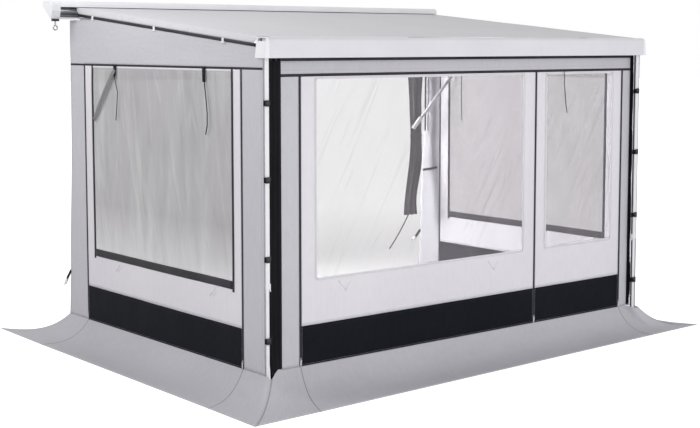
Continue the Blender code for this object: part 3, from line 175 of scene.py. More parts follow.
def wave_scale(pitch_mm):
    """The Wave texture's scale for bands a pitch apart."""
    return 2 * math.pi / (20 * pitch_mm / 1000)


def start_material(name, roughness, gloss, **sockets):
    """A Principled material, its tree and shader; what is the same all over sits on the shader's own sockets."""
    material = bpy.data.materials.new(name)
    material.use_nodes = True
    tree = material.node_tree
    shader = tree.nodes["Principled BSDF"]
    fill(tree, shader, {"Roughness": roughness, "Specular IOR Level": gloss, **sockets})
    return material, tree, shader


def blend_colours(tree, factor, colours, stops):
    """A ramp through hex colours, which stand at stops of the factor."""
    ramp = add(tree, "ShaderNodeValToRGB", {"Fac": factor})
    steps = ramp.color_ramp.elements
    steps[0].position, steps[1].position = stops[0], stops[-1]
    for stop in stops[1:-1]:
        steps.new(stop)
    for step, colour in zip(steps, colours):
        step.color = linear(colour)
    return ramp


def mix_colours(tree, share, below, over):
    return add(tree, "ShaderNodeMixRGB", {"Fac": share, "Color1": below, "Color2": linear(over)})


def map_range(tree, value, to_low, to_high, from_low=0.0, from_high=1.0):
    return add(tree, "ShaderNodeMapRange", {"Value": value, "From Min": from_low, "From Max": from_high,
                                            "To Min": to_low, "To Max": to_high})


def woven_cloth(name, colours, thread_mm, depth, roughness, streak=(9.0, 3.0), gloss=0.3, stops=(0.3, 0.52, 0.78),
                **sockets):
    """Woven cloth: crossed threads in the bump, and slubs that run along the threads."""
    material, tree, shader = start_material(name, roughness, gloss, **{"Sheen Roughness": 0.5, **sockets})
    place = spot_on(tree, "UV")
    warp, weft = (add(tree, "ShaderNodeTexWave", {"Vector": place, "Scale": wave_scale(thread_mm), "Distortion": 0.4},
                      bands_direction=way).outputs["Fac"] for way in "XY")
    threads = calculate(tree, "MULTIPLY", warp, weft)
    stretched = add(tree, "ShaderNodeMapping", {"Vector": place, "Scale": (*streak, 1.0)})
    slubs = noise_on(tree, stretched, 4.0, 5.0, Roughness=0.62)
    patches = noise_on(tree, place, 1.3, 2.0)
    tone = add(tree, "ShaderNodeMix", {"Factor": 0.45, "A": slubs, "B": patches})
    shaded = calculate(tree, "MULTIPLY_ADD", threads, 0.10, tone)
    fine = bump(tree, 0.35, depth, threads)
    puckers = noise_on(tree, place, 7.0, 3.0, Roughness=0.5)
    fill(tree, shader, {"Base Color": blend_colours(tree, shaded, colours, stops),
                        "Normal": bump(tree, 0.18, 0.02, puckers, Normal=fine)})
    return material


def painted_metal(name, colours, roughness, grain_mm, gloss=0.5, stops=(0.2, 0.8), **sockets):
    """Powder coat or a cast skin: orange peel in the bump and faint handling marks."""
    material, tree, shader = start_material(name, roughness, gloss, **sockets)
    place = spot_on(tree, "Object")
    peel = noise_on(tree, place, 1000 / grain_mm, 2.0)
    marks = noise_on(tree, place, 3.5, 4.0, Roughness=0.65)
    fill(tree, shader, {"Base Color": blend_colours(tree, marks, colours, stops),
                        "Roughness": map_range(tree, marks, roughness - 0.06, roughness + 0.08),
                        "Normal": bump(tree, 0.12, 0.0006, peel)})
    return material


def slot_shaded_metal(slot_shade_colour, *finish, **sockets):
    """Painted tube with a dark stripe, 12 mm wide, on the face that looks into the room: painted shade that stands
    for the track's slot.
    """
    material = painted_metal(*finish, **sockets)
    tree = material.node_tree
    shader = tree.nodes["Principled BSDF"]
    paint = shader.inputs["Base Color"].links[0].from_socket
    place = add(tree, "ShaderNodeSeparateXYZ", {"Vector": spot_on(tree, "Object")}).outputs
    inner = calculate(tree, "LESS_THAN", calculate(tree, "ABSOLUTE", place["X"]), LEG_X - 0.0105)
    off = calculate(tree, "ABSOLUTE", calculate(tree, "SUBTRACT", place["Y"], LEG_Y))
    # painted shade: the dark stripe stands for the shade in the track's slot
    slot_shade = calculate(tree, "MULTIPLY", inner, calculate(tree, "LESS_THAN", off, 0.006))
    fill(tree, shader, {"Base Color": mix_colours(tree, slot_shade, paint, slot_shade_colour)})
    return material


def clear_film(name, colours, stops, haze, streak, crease, tint, foot=None):
    """Clear PVC film: streaks down it, partly its own cloudiness and partly painted sheen, thin creases drawn as
    painted glints and painted shade, and a painted pale glow that rises from its foot.

    streak is its scales across and along and its turn; crease has the same, and then how strong the creases are;
    tint is the film's second hue, foot the heights between which the painted pale glow at its foot fades out.
    """
    material, tree, shader = start_material(name, 0.2, 0.4)
    place = spot_on(tree, "UV")
    strength = crease[3]

    def stretched_noise(scales, offset, detail, **inputs):
        # of this type, Mapping turns the pattern before it stretches it
        mapping = add(tree, "ShaderNodeMapping", {
            "Vector": place, "Scale": (1 / scales[0], 1 / scales[1], 1.0), "Rotation": (0.0, 0.0, scales[2]),
            "Location": (offset, 0.0, 0.0)}, vector_type="TEXTURE")
        return noise_on(tree, mapping, 1.0, detail, **inputs)

    # the streaks: partly the film's own cloudiness, partly painted sheen
    cloud = stretched_noise(streak, 0.0, 4.0, Roughness=0.6, Distortion=0.4)
    hue = stretched_noise((1.6, 0.6, 0.0), 4.7, 1.0)
    crumples = stretched_noise(crease, 0.0, 2.5, Roughness=0.45, Distortion=0.9)
    # crease lines: the near-white ones are painted glints, the near-black ones painted shade
    layers = [(hue, 0.42, 0.62, tint, 0.6), (crumples, 0.58, 0.68, "#F4F4F6", strength),
              (crumples, 0.43, 0.33, "#3A393E", strength)]
    # a painted pale glow at the foot, in place of light from the bright ground
    if foot:
        height = add(tree, "ShaderNodeSeparateXYZ", {"Vector": place}).outputs["Y"]
        layers.insert(1, (height, foot[1], foot[0], "#EEEEF1", 0.6))
    colour = blend_colours(tree, cloud, colours, stops)
    for mask, low, high, over, most in layers:
        colour = mix_colours(tree, map_range(tree, mask, 0.0, most, low, high), colour, over)
    denser = map_range(tree, crumples, haze, haze + strength * 0.4, 0.44, 0.33)
    relief = bump(tree, 0.3, 0.02, calculate(tree, "ADD", cloud, crumples))
    fill(tree, shader, {"Base Color": colour, "Alpha": denser, "Normal": relief})
    return material


COAT_STOPS = (0.25, 0.75)
# white powder coat on extruded aluminium: a soft satin skin; of the three copies of this coat it is the darkest,
# painted as the shaded one
POWDER = painted_metal("powder_coated_aluminium", ("#CDCDD3", "#D6D6DB"), 0.42, 1.6, 0.25, COAT_STOPS)
# the rail's coat on the case, painted a shade whiter as a lit copy
CASE_COAT_LIT = painted_metal("powder_coat_lit_copy_case", ("#E2E2E7", "#EBEBEF"), 0.38, 1.6, 0.3, COAT_STOPS)
# the same coat on the leg tubes as a lit copy, a shade whiter than the rail's, with a dark stripe down their inner
# face: painted shade standing for the track's slot
LEG_COAT_LIT = slot_shaded_metal("#3A3840", "powder_coated_leg_tube", ("#DADADF", "#E4E4E8"), 0.42, 1.6, 0.25, COAT_STOPS)
# moulded ASA: a little warmer and duller than the powder coat
MOULDED = painted_metal("moulded_asa", ("#DCDCE0", "#E8E8EA"), 0.5, 0.9, stops=COAT_STOPS)
# die-cast aluminium brackets, painted grey
CAST = painted_metal("cast_aluminium", ("#84868A", "#A2A4A8"), 0.48, 2.2, Metallic=0.55)
# glass-filled nylon: nearly black, slightly chalky on its edges
NYLON = painted_metal("glass_filled_nylon", ("#17171A", "#26262A"), 0.52, 1.1)
# drawn steel tube of the roller, zinc plated
ROLLER = painted_metal("zinc_plated_steel", ("#9A9C9E", "#BFC1C3"), 0.34, 3.0, Metallic=1.0)
# nylon zip coil: dark, a little glossy
COIL = painted_metal("nylon_coil", ("#26232A", "#37343D"), 0.4, 0.6)
# extruded rubber of the keder and the window seals: black with a dull grey bloom
SEAL = painted_metal("extruded_rubber", ("#151318", "#322F36"), 0.42, 6.0, 0.25, (0.3, 0.7))
# polyester sewing thread
THREAD_PALE = painted_metal("pale_sewing_thread", ("#D2D1D6", "#E2E1E5"), 0.6, 0.5)
THREAD_GREY = painted_metal("grey_sewing_thread", ("#98969D", "#A9A7AE"), 0.6, 0.5)
# 0.4 mm Oxford threads, drawn 7 mm apart so that the render shows them
GREY = woven_cloth("polyester_oxford", ("#B7B6BC", "#BDBCC2", "#C3C2C8"), 7.0, 0.0010, 0.78, **{"Sheen Weight": 0.12})
# the skirts' heavier grey tarpaulin: the same grey a shade darker, satin
SKIRT = woven_cloth("skirt_tarpaulin", ("#B2B1B7", "#B9B8BE", "#C0BFC5"), 7.0, 0.0010, 0.66)
# coated polyester of the pale panels: smoother, with a faint gloss
PALE = woven_cloth("coated_polyester", ("#D3D0D7", "#D8D5DB", "#DDDAE0"), 6.0, 0.0007, 0.6)
# welded PVC tarpaulin of the ground bands: blue-black, satin
TARPAULIN = woven_cloth("pvc_tarpaulin", ("#0C0F14", "#11141A", "#171A21"), 6.0, 0.0010, 0.5, gloss=0.06)
# the roof's acrylic-coated vinyl: wipe-clean, faint cross grain
VINYL = woven_cloth("roof_vinyl", ("#C9C9CE", "#CECED2", "#D3D3D7"), 8.0, 0.0008, 0.55)
# polypropylene webbing: ribbed black
WEBBING = woven_cloth("polypropylene_webbing", ("#0F0E12", "#16151A", "#222126"), 3.0, 0.0015, 0.7, (30.0, 6.0), 0.15)
# the thin grey lining cloth of the curtain, with painted fold shadows: near-black streaks stand for the shade in its
# folds
CURTAIN_FOLD_SHADED = woven_cloth("lining_polyester_fold_shaded", ("#060607", "#1A1A1D", "#7A7A7E"), 5.0, 0.0010, 0.75, (3.0, 0.2),
                      stops=(0.50, 0.55, 0.61))
# the woven tape that the zip coils are sewn to
ZIP_TAPE = woven_cloth("zip_tape", ("#1B191E", "#242127", "#302D34"), 2.5, 0.0008, 0.7)
# elasticated black cloth of the corner strips
CORNER = woven_cloth("elasticated_cloth", ("#0B0A0E", "#121115", "#1B191F"), 5.0, 0.0012, 0.62, (22.0, 1.2), 0.10)
# pale woven ties and pull cords
TIE = woven_cloth("pale_tie_tape", ("#CBC9CE", "#D7D5DA", "#E3E1E6"), 2.5, 0.0008, 0.75)
# the grey webbing of the storm strap
STRAP_GREY = woven_cloth("grey_webbing", ("#6E6E70", "#7C7C7E", "#8C8C8E"), 3.0, 0.0012, 0.7)
# a seam of the same cloth folded under, painted darker as the shade along its fold
SEAM_SHADED = woven_cloth("folded_seam_painted_shade", ("#8C8B91", "#939298", "#9B9AA0"), 3.0, 0.0008, 0.7)
# one clear PVC in three copies, toned by wall as painted light: the left wall's is a greyer, denser shaded copy, the
# others let the far side show
FILM_LEFT = clear_film("clear_pvc_left_shaded_copy", ("#9B9B9D", "#A9A9AB", "#BDBDBE"), (0.28, 0.5, 0.72), 0.72,
                       (5.0, 0.7, 0.05), (15.0, 2.0, -0.18, 0.08), "#A9A2AA", (SIDE_RIM[2], SIDE_RIM[2] + 0.36))
FILM_RIGHT = clear_film("clear_pvc_rippled", ("#8C858B", "#969096", "#A59EA4"), (0.25, 0.5, 0.75), 0.34,
                        (7.0, 2.2, -0.35), (30.0, 2.2, 0.50, 0.09), "#A0979F")
FILM_TIGHT = clear_film("clear_pvc_tight", ("#767277", "#807C81", "#8E8B90"), (0.25, 0.5, 0.75), 0.33,
                        (5.0, 1.6, 0.35), (26.0, 1.7, -0.52, 0.05), "#8A8289")


# meshes

def places(start, stop, step, *marks):
    """Positions from start to stop about a step apart, with the marks between them among them."""
    stations = sorted({start, stop, *[mark for mark in marks if start < mark < stop]})
    found = []
    for low, high in zip(stations, stations[1:]):
        count = max(1, round((high - low) / step))
        found += [low + (high - low) * i / count for i in range(count)]
    return found + [stop]


def cloth_mesh(name, across, down, place, hole=None, facing=None):
    """A grid of cloth with its flat cut as UV map; hole(u, v) is True where there is none."""
    mesh = bmesh.new()
    flat = mesh.loops.layers.uv.new("flat_cut")
    spots = {}

    def corner(i, j):
        if (i, j) not in spots:
            spots[i, j] = mesh.verts.new(place(across[i], down[j]))
        return spots[i, j]

    for i in range(len(across) - 1):
        for j in range(len(down) - 1):
            if hole and hole((across[i] + across[i + 1]) / 2, (down[j] + down[j + 1]) / 2):
                continue
            ring = [(i, j), (i + 1, j), (i + 1, j + 1), (i, j + 1)]
            face = mesh.faces.new([corner(*spot) for spot in ring])
            face.smooth = True
            for loop, (a, b) in zip(face.loops, ring):
                loop[flat].uv = (across[a], down[b])
    mesh.normal_update()
    if facing is not None:
        total = sum((face.normal * face.calc_area() for face in mesh.faces), Vector())
        if total.dot(Vector(facing)) < 0:
            bmesh.ops.reverse_faces(mesh, faces=mesh.faces)
    return settle(name, mesh)


def settle(name, mesh):
    """Ends the work on a bmesh and keeps its data under a name."""
    data = bpy.data.meshes.new(name)
    mesh.to_mesh(data)
    mesh.free()
    return data


def put(name, data):
    """A new object in the scene."""
    thing = bpy.data.objects.new(name, data)
    bpy.context.scene.collection.objects.link(thing)
    return thing


def show(name, data, material, body, thickness=0.0):
    """Puts a mesh in the scene as a piece that rides on a body."""
    piece = put(name, data)
    data.materials.clear()
    data.materials.append(material)
    if thickness:
        solid = piece.modifiers.new("thickness", "SOLIDIFY")
        solid.thickness = thickness
        solid.offset = -1.0
    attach(piece, body)
    return piece


def cloth_piece(data, material, body, slot, node, fold=None, thickness=CLOTH, **cut):
    piece = show(data.name, data, material, body, thickness)
    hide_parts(node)
    if fold:
        fold(piece)


def pillow(width, rise, sink=0.0):
    """The section of a tape or binding: flat on the cloth, rounded on top."""
    half = width / 2
    return [(-half, -sink), (half, -sink), (half, rise * 0.5), (half * 0.6, rise), (-half * 0.6, rise),
            (-half, rise * 0.5)]


def on_edge(section):
    """The same section turned, for a tape that is laid around something."""
    return [(b, a) for a, b in section]


def draw_strip(mesh, line, out, section):
    """Draws a closed section, in (across, out), along a line; out is one direction or one for each point."""
    flat = mesh.loops.layers.uv.active
    rings = []
    for k, spot in enumerate(line):
        up = out[k] if isinstance(out, list) else out
        along = (line[min(k + 1, len(line) - 1)] - line[max(k - 1, 0)]).normalized()
        across = along.cross(up).normalized()
        rings.append([mesh.verts.new(spot + across * a + up * b) for a, b in section])
    edges = [math.dist(a, b) for a, b in zip(section, section[1:] + section[:1])]
    run = 0.0
    for k in range(len(line) - 1):
        step = (line[k + 1] - line[k]).length
        girth = 0.0
        for i, edge in enumerate(edges):
            j = (i + 1) % len(section)
            face = mesh.faces.new((rings[k][i], rings[k][j], rings[k + 1][j], rings[k + 1][i]))
            face.smooth = True
            corners = ((girth, run), (girth + edge, run), (girth + edge, run + step), (girth, run + step))
            for loop, spot in zip(face.loops, corners):
                loop[flat].uv = spot
            girth += edge
        run += step
    mesh.faces.new(rings[0])
    mesh.faces.new(rings[-1])


def strips_piece(name, strips, material, body):
    """One piece of closed strips, each a (line, out, section), with their faces outwards."""
    mesh = bmesh.new()
    mesh.loops.layers.uv.new("flat_cut")
    for strip in strips:
        draw_strip(mesh, *strip)
    bmesh.ops.recalc_face_normals(mesh, faces=mesh.faces)
    return show(name, settle(name, mesh), material, body)


def front_strips(name, strips, material):
    return strips_piece(name, strips, material, FRONT_BODY)


def trace(surface, start, stop, step=0.03):
    """Points on a surface between two of its spots."""
    count = max(1, round(math.dist(start, stop) / step))
    return [surface(*(a + (b - a) * i / count for a, b in zip(start, stop))) for i in range(count + 1)]


def frame_of(surface, film, grow):
    """The four sides of a window, grown outwards, as lines on the cloth."""
    a, b = film[0] - grow, film[1] + grow
    c, d = film[2] - grow, film[3] + grow
    corners = [(a, c), (b, c), (b, d), (a, d), (a, c)]
    return [trace(surface, start, stop) for start, stop in zip(corners, corners[1:])]


BEAD_SIZES = ("Pitch", "Length", "Width", "Height")


def build_beads_tree():
    """Beads along seams: each point of a line gets a bead that lies along it, on its facing side."""
    tree = bpy.data.node_groups.new("beads_along_seams", "GeometryNodeTree")
    kinds = {"Geometry": "NodeSocketGeometry", "Material": "NodeSocketMaterial"}
    for name in ("Geometry", *BEAD_SIZES, "Material"):
        tree.interface.new_socket(name, in_out="INPUT", socket_type=kinds.get(name, "NodeSocketFloat"))
    tree.interface.new_socket("Geometry", in_out="OUTPUT", socket_type="NodeSocketGeometry")
    source = tree.nodes.new("NodeGroupInput").outputs
    curve = add(tree, "GeometryNodeMeshToCurve", {"Mesh": source["Geometry"]})
    even = add(tree, "GeometryNodeResampleCurve", {"Curve": curve, "Length": source["Pitch"]}, mode="LENGTH")
    facing = add(tree, "GeometryNodeInputNamedAttribute", {"Name": "facing"}, data_type="FLOAT_VECTOR")
    along = add(tree, "GeometryNodeInputTangent", {})
    upright = add(tree, "FunctionNodeAlignRotationToVector", {"Vector": facing}, axis="Z")
    turned = add(tree, "FunctionNodeAlignRotationToVector", {"Rotation": upright, "Vector": along}, axis="X",
                 pivot_axis="Z")
    size = add(tree, "ShaderNodeCombineXYZ", {"X": source["Length"], "Y": source["Width"], "Z": source["Height"]})
    bead = add(tree, "GeometryNodeMeshIcoSphere", {"Radius": 0.5, "Subdivisions": 1})
    strung = add(tree, "GeometryNodeInstanceOnPoints", {"Points": even, "Instance": bead, "Rotation": turned,
                                                        "Scale": size})
    real = add(tree, "GeometryNodeRealizeInstances", {"Geometry": strung})
    painted = add(tree, "GeometryNodeSetMaterial", {"Geometry": real, "Material": source["Material"]})
    add(tree, "NodeGroupOutput", {"Geometry": painted})
    return tree


BEADS = build_beads_tree()
# what BEAD_SIZES names, in metres
TEETH = (0.006, 0.0036, 0.0080, 0.0026)
STITCH = (0.0110, 0.0080, 0.0020, 0.0012)


def string_beads(name, lines, out, lift, sizes, material, body):
    """Stitches or zip teeth along lines, lifted off the cloth to the side that out points to."""
    guide_mesh = bpy.data.meshes.new(f"{name}_guide")
    spots, edges = [], []
    for line in lines:
        edges += [(len(spots) + i, len(spots) + i + 1) for i in range(len(line) - 1)]
        spots += [spot + out * lift for spot in line]
    guide_mesh.from_pydata(spots, edges, [])
    guide_mesh.attributes.new("facing", "FLOAT_VECTOR", "POINT").data.foreach_set("vector", [*out] * len(spots))
    guide = put(f"{name}_guide", guide_mesh)
    values = dict(zip(BEAD_SIZES, sizes), Material=material)
    modifier = guide.modifiers.new("beads", "NODES")
    modifier.node_group = BEADS
    for socket in BEADS.interface.items_tree:
        if socket.in_out == "INPUT" and socket.name in values:
            modifier[socket.identifier] = values[socket.name]
    data = bpy.data.meshes.new_from_object(guide.evaluated_get(bpy.context.evaluated_depsgraph_get()))
    data.name = name
    bpy.data.objects.remove(guide)
    bpy.data.meshes.remove(guide_mesh)
    return show(name, data, material, body)


def stitches(name, lines, out, thread, body):
    """Stitches along seams, on the side of the cloth that out points to."""
    return string_beads(name, lines, out, 0.0006, STITCH, thread, body)


def build_zips(label, lines, widths, out, body):
    """The tapes and teeth of zips, as two pieces; label makes the names."""
    tapes = [(line, out, pillow(width, 0.0012, 0.0018)) for line, width in zip(lines, widths)]
    return (strips_piece(label.format("tapes"), tapes, ZIP_TAPE, body),
            string_beads(label.format("teeth"), lines, out, 0.0016, TEETH, COIL, body))


def crumple_side(piece):
    """Gives a side wall's piece its own copy of its mesh."""
    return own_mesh(piece)


def side_strips(name, strips, material):
    return crumple_side(strips_piece(name, strips, material, CASE_BODY))


def crumple_roof(piece):
    """Gives a roof piece its own copy of its mesh."""
    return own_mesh(piece)


def roof_strips(name, strips, material):
    return crumple_roof(strips_piece(name, strips, material, CASE_BODY))


def ease(share):
    share = min(1.0, max(0.0, share))
    return share * share * (3 - 2 * share)


def slack(position, pins, reach=0.16):
    """0 at the zips and seams that hold the cloth straight, 1 well away from them."""
    return ease(min(abs(position - pin) for pin in pins) / reach)


def shares(count):
    return [i / count for i in range(count + 1)]


def drift(x, y, seed):
    return noise.noise(Vector((x, y, seed)))


def roof_height(y):
    """The canopy's top face at a distance y from the vehicle."""
    return CANOPY_HIGH.z + (y - CANOPY_HIGH.y) * RISE


def keder_height(y):
    return KEDER_LOW.z + 0.007 + (y - KEDER_LOW.y) * RISE


# the front wall

FRONT_PINS = (FRONT_LEFT, ZIP_LEFT, ZIP_DOOR, ZIP_RIGHT, FRONT_RIGHT)
FRONT_LEVELS = (HEM_Z, TOP_ZIP_Z, WALL_HIGH.z)


def front_point(x, z, inside=0.0):
    free = slack(x, FRONT_PINS) * slack(z, FRONT_LEVELS)
    belly = 0.006 * drift(x * 1.3, z * 1.1, 3.1) + 0.0025 * drift(x * 5.0 + z * 2.0, z * 1.6, 7.7)
    return Vector((x, WALL_Y + inside - free * (0.002 + belly), z))


def build_bay(label, span, top, film, point, ripple, finish, surround, film_step, body, facing, fold=None):
    """From zip to zip: a panel, the window in it, whose film waves by ripple(u, z), and the band below.

    span and film are ranges along the wall, film's then its heights; label makes the names.
    """
    low, high = span
    left, right, foot, head = film
    width, height = high - low, top - BAND_Z
    cut = width * height - (right - left) * (head - foot)
    panel = cloth_mesh(label.format("pale_panel"), places(low, high, GRID, left, right),
                       places(BAND_Z, top, GRID, foot, head), point,
                       lambda u, z: left < u < right and foot < z < head, facing=facing)
    cloth_piece(panel, PALE, body, "light_cloth", label.format("panel"), fold, flat=(width, height), held="hung",
                rests_on=[surround], area=max(cut, LEAST_CUT * width * height))

    def film_place(u, z):
        free = slack(u, (left, right), 0.14) * slack(z, (foot, head), 0.12)
        return point(u, z, 0.0012) - Vector(facing) * (free * ripple(u, z))

    window = cloth_mesh(label.format("clear_window"), places(left - LAP, right + LAP, film_step),
                        places(foot - LAP, head + LAP, GRID), film_place, facing=facing)
    cloth_piece(window, finish, body, "clear_film", label.format("window"), fold, FILM,
                flat=(right - left + 2 * LAP, head - foot + 2 * LAP), held="stretched",
                rests_on=[label.format("pale_panel")])
    band = cloth_mesh(label.format("ground_band"), places(low, high, GRID), places(HEM_Z, BAND_Z, GRID),
                      lambda u, z: point(u, z, -0.0006 * slack(z, (BAND_Z,), 0.02)), facing=facing)
    cloth_piece(band, TARPAULIN, body, "black_cloth", label.format("band"), fold, flat=(width, BAND_Z - HEM_Z),
                held="hung", rests_on=[label.format("pale_panel")])


def front_ripple(x, z):
    return 0.006 * drift(x * 2.2 + z * 1.2, z * 0.9, 11.3) + 0.003 * drift(x * 6.0, z * 3.0, 5.9)


def build_front_wall():
    surround = cloth_mesh(
        "front_surround", places(FRONT_LEFT, FRONT_RIGHT, GRID, ZIP_LEFT, ZIP_RIGHT),
        places(HEM_Z, WALL_HIGH.z, GRID, TOP_ZIP_Z), front_point,
        lambda x, z: ZIP_LEFT < x < ZIP_RIGHT and z < TOP_ZIP_Z, facing=FRONT_OUT)
    area = (FRONT_RIGHT - FRONT_LEFT) * (WALL_HIGH.z - HEM_Z) - (ZIP_RIGHT - ZIP_LEFT) * (TOP_ZIP_Z - HEM_Z)
    # the cut is a rectangle with the door bays out of it, too open for one: it is sewn from three strips
    cloth_piece(surround, GREY, FRONT_BODY, "grey_cloth", "front_wall",
                flat=(FRONT_RIGHT - FRONT_LEFT + 2 * (TOP_ZIP_Z - HEM_Z), FRONT_RIGHT - ZIP_RIGHT + 0.02),
                held="hung", rests_on=["lead_rail"], area=area)
    for name, (span, film) in BAYS.items():
        build_bay(name + "_{}", span, TOP_ZIP_Z, film, front_point, front_ripple, FILM_TIGHT, "front_surround", GRID,
                  FRONT_BODY, FRONT_OUT)


def runs_on(surface):
    """A function that draws a straight line on a surface, from spot to spot."""
    return lambda u0, z0, u1, z1: trace(surface, (u0, z0), (u1, z1))


def zip_seams(run, zips, top):
    """The seams on both sides of upright zips."""
    return [run(u + off, HEM_Z, u + off, top - 0.012) for u in zips for off in (-SEAM_OFF, SEAM_OFF)]


def level_seam(run, low, high, z):
    return run(low + 0.02, z, high - 0.02, z)


def slant_ties(run, out, spots, wide, narrow):
    """Two ties under a window at each spot, stitched down in a slant; wide and narrow are their ends' offsets."""
    kinds = ((wide, pillow(0.008, 0.0022)), (narrow, pillow(0.006, 0.0018)))
    return [(run(u + a, z + b, u + c, z + d), out, section) for u, z in spots for (a, b, c, d), section in kinds]


def build_front_trim():
    run = runs_on(front_point)
    zips = [run(x, HEM_Z, x, TOP_ZIP_Z) for x in (ZIP_LEFT, ZIP_DOOR, ZIP_RIGHT)]
    zips.append(run(FRONT_LEFT, TOP_ZIP_Z, FRONT_RIGHT, TOP_ZIP_Z))
    build_zips("front_zip_{}", zips, [ZIP_WIDTH] * len(zips), FRONT_OUT, FRONT_BODY)
    keder = [Vector((x, WALL_Y - 0.0005, WALL_HIGH.z - 0.0095)) for x in places(WALL_LOW.x - 0.135, WALL_HIGH.x, 0.1)]
    front_strips("rail_keder_piping", [(keder, FRONT_OUT, pillow(0.019, 0.0045, 0.0012))], SEAL)

    grey = zip_seams(run, (ZIP_LEFT, ZIP_DOOR, ZIP_RIGHT), TOP_ZIP_Z)
    grey += [run(FRONT_LEFT + 0.006, z, FRONT_RIGHT - 0.006, z)
             for z in (TOP_ZIP_Z + SEAM_OFF, TOP_ZIP_Z + 0.030, WALL_HIGH.z - 0.026)]
    grey += [run(x, HEM_Z, x, WALL_HIGH.z - 0.03) for x in (FRONT_LEFT + 0.010, FRONT_RIGHT - 0.010)]
    grey += [level_seam(run, *span, HEM_SEAM) for span, film in BAYS.values()]
    pale = [level_seam(run, *span, BAND_SEAM) for span, film in BAYS.values()]
    for name, (span, film) in BAYS.items():
        pale += frame_of(front_point, film, 0.007)
        weld = frame_of(lambda x, z: front_point(x, z, -0.0002), film, -0.004)
        front_strips(f"window_weld_{name}", [(line, FRONT_OUT, pillow(0.009, 0.0007, 0.0012)) for line in weld], TIE)
    stitches("front_grey_stitches", grey, FRONT_OUT, THREAD_GREY, FRONT_BODY)
    stitches("front_pale_stitches", pale, FRONT_OUT, THREAD_PALE, FRONT_BODY)

    front_strips("front_window_ties", slant_ties(
        run, FRONT_OUT, ((-1.04, -1.712), (0.249, -1.722)), (-0.050, 0.030, 0.010, -0.034),
        (0.040, 0.018, 0.004, -0.030)), TIE)
    # the ties that hold a rolled-up window hang loose from the top zip
    hanging = []
    for x, foot, drop, deep in ((-0.046, -0.040, 0.32, 0.012), (0.915, 0.950, 0.30, -0.018)):
        line = [Vector((x + (foot - x) * s, WALL_Y + deep + 0.006 * math.sin(3.0 * s), TOP_ZIP_Z + 0.004 - drop * s))
                for s in shares(12)]
        hanging.append((line, FRONT_OUT, pillow(0.007, 0.0008)))
    front_strips("front_roll_up_ties", hanging, WEBBING)


# the side walls

SIDE_PINS = (SIDE_LOW.y, ZIP_SIDE_FRONT, ZIP_SIDE_REAR)
SIDE_LEVELS = (HEM_Z, SIDE_ZIP_Z)
REAR_TOP_Y = -0.020
REAR_BELLY_Y = 0.030
REAR_FOOT_Y = SIDE_HIGH.y
REAR_BELLY_Z = level(0.600)


def side_point(side, y, z, inside=0.0):
    free = slack(y, SIDE_PINS) * slack(z, SIDE_LEVELS)
    belly = 0.006 * drift(y * 1.4, z * 1.2, side * 4.3) + 0.003 * drift(y * 5.0, z * 1.4, side * 9.1)
    behind = ease((y - ZIP_SIDE_REAR) / 0.06) * slack(z, (SIDE_ZIP_Z,), 0.5)
    belly += 0.005 * behind * drift(y * 16.0, z * 0.8, side * 2.2)
    return Vector((side * (SIDE_X - inside + free * (0.002 + belly)), y, z))


def rear_edge(z):
    """The side wall's rear edge: straight down the vehicle, then flaring out to the skirt."""
    if z > REAR_BELLY_Z:
        share = (z - REAR_BELLY_Z) / (level(1.5) - REAR_BELLY_Z)
        return REAR_BELLY_Y + (REAR_TOP_Y - REAR_BELLY_Y) * ease(share)
    share = (REAR_BELLY_Z - z) / (REAR_BELLY_Z - HEM_Z)
    return REAR_BELLY_Y + (REAR_FOOT_Y - REAR_BELLY_Y) * share ** 2


def wall_top(y):
    """The top of a side wall: under the keder, the rail at the front and the case at the rear."""
    if y < KEDER_LOW.y:
        return RAIL_FOOT
    return min(keder_height(min(y, KEDER_HIGH.y)) - 0.0072, -0.0705)


def build_side_wall(side, word, out):
    span = SIDE_ZIP_Z - HEM_Z

    def place(y, v):
        if v <= 1.0:
            z = HEM_Z + span * v
        else:
            z = SIDE_ZIP_Z + (wall_top(y) - SIDE_ZIP_Z) * (v - 1.0)
        if y > ZIP_SIDE_REAR:
            share = (y - ZIP_SIDE_REAR) / -ZIP_SIDE_REAR
            y = ZIP_SIDE_REAR + (rear_edge(z) - ZIP_SIDE_REAR) * share
        return side_point(side, y, z)

    surround = cloth_mesh(f"side_surround_{word}",
                          places(SIDE_LOW.y, 0.0, GRID, ZIP_SIDE_FRONT, ZIP_SIDE_REAR, KEDER_LOW.y, KEDER_HIGH.y),
                          shares(80) + [1.0 + share for share in shares(14)[1:]], place,
                          lambda y, v: ZIP_SIDE_FRONT < y < ZIP_SIDE_REAR and v < 1.0, facing=out)
    # cut as a slanting top piece with a leg at each end, laid head to foot
    cloth_piece(surround, GREY, CASE_BODY, "grey_cloth", f"side_wall_{word}", crumple_side,
                flat=(SIDE_HIGH.y - SIDE_LOW.y, 0.75), held="hung",
                rests_on=[f"keder_profile_{word}", "cassette_housing"], area=sheet_area(surround))

    def ripple(y, z):
        return 0.003 * drift(y * 5.5, z * 0.9, side * 2.3) + 0.0015 * drift(y * 12.0, z * 2.0, 8.2) + 0.002

    build_bay("side_{}_" + word, (ZIP_SIDE_FRONT, ZIP_SIDE_REAR), SIDE_ZIP_Z, SIDE_RIM, partial(side_point, side),
              ripple, FILM_LEFT if side < 0 else FILM_RIGHT, f"side_surround_{word}", GRID * 0.8, CASE_BODY, out,
              crumple_side)


def rear_point(side, share, z):
    """A spot of the strip behind the rear zip: share is 0 at the zip and 1 at the rear edge."""
    y = ZIP_SIDE_REAR + (rear_edge(z) - ZIP_SIDE_REAR) * share
    return side_point(side, y, z)


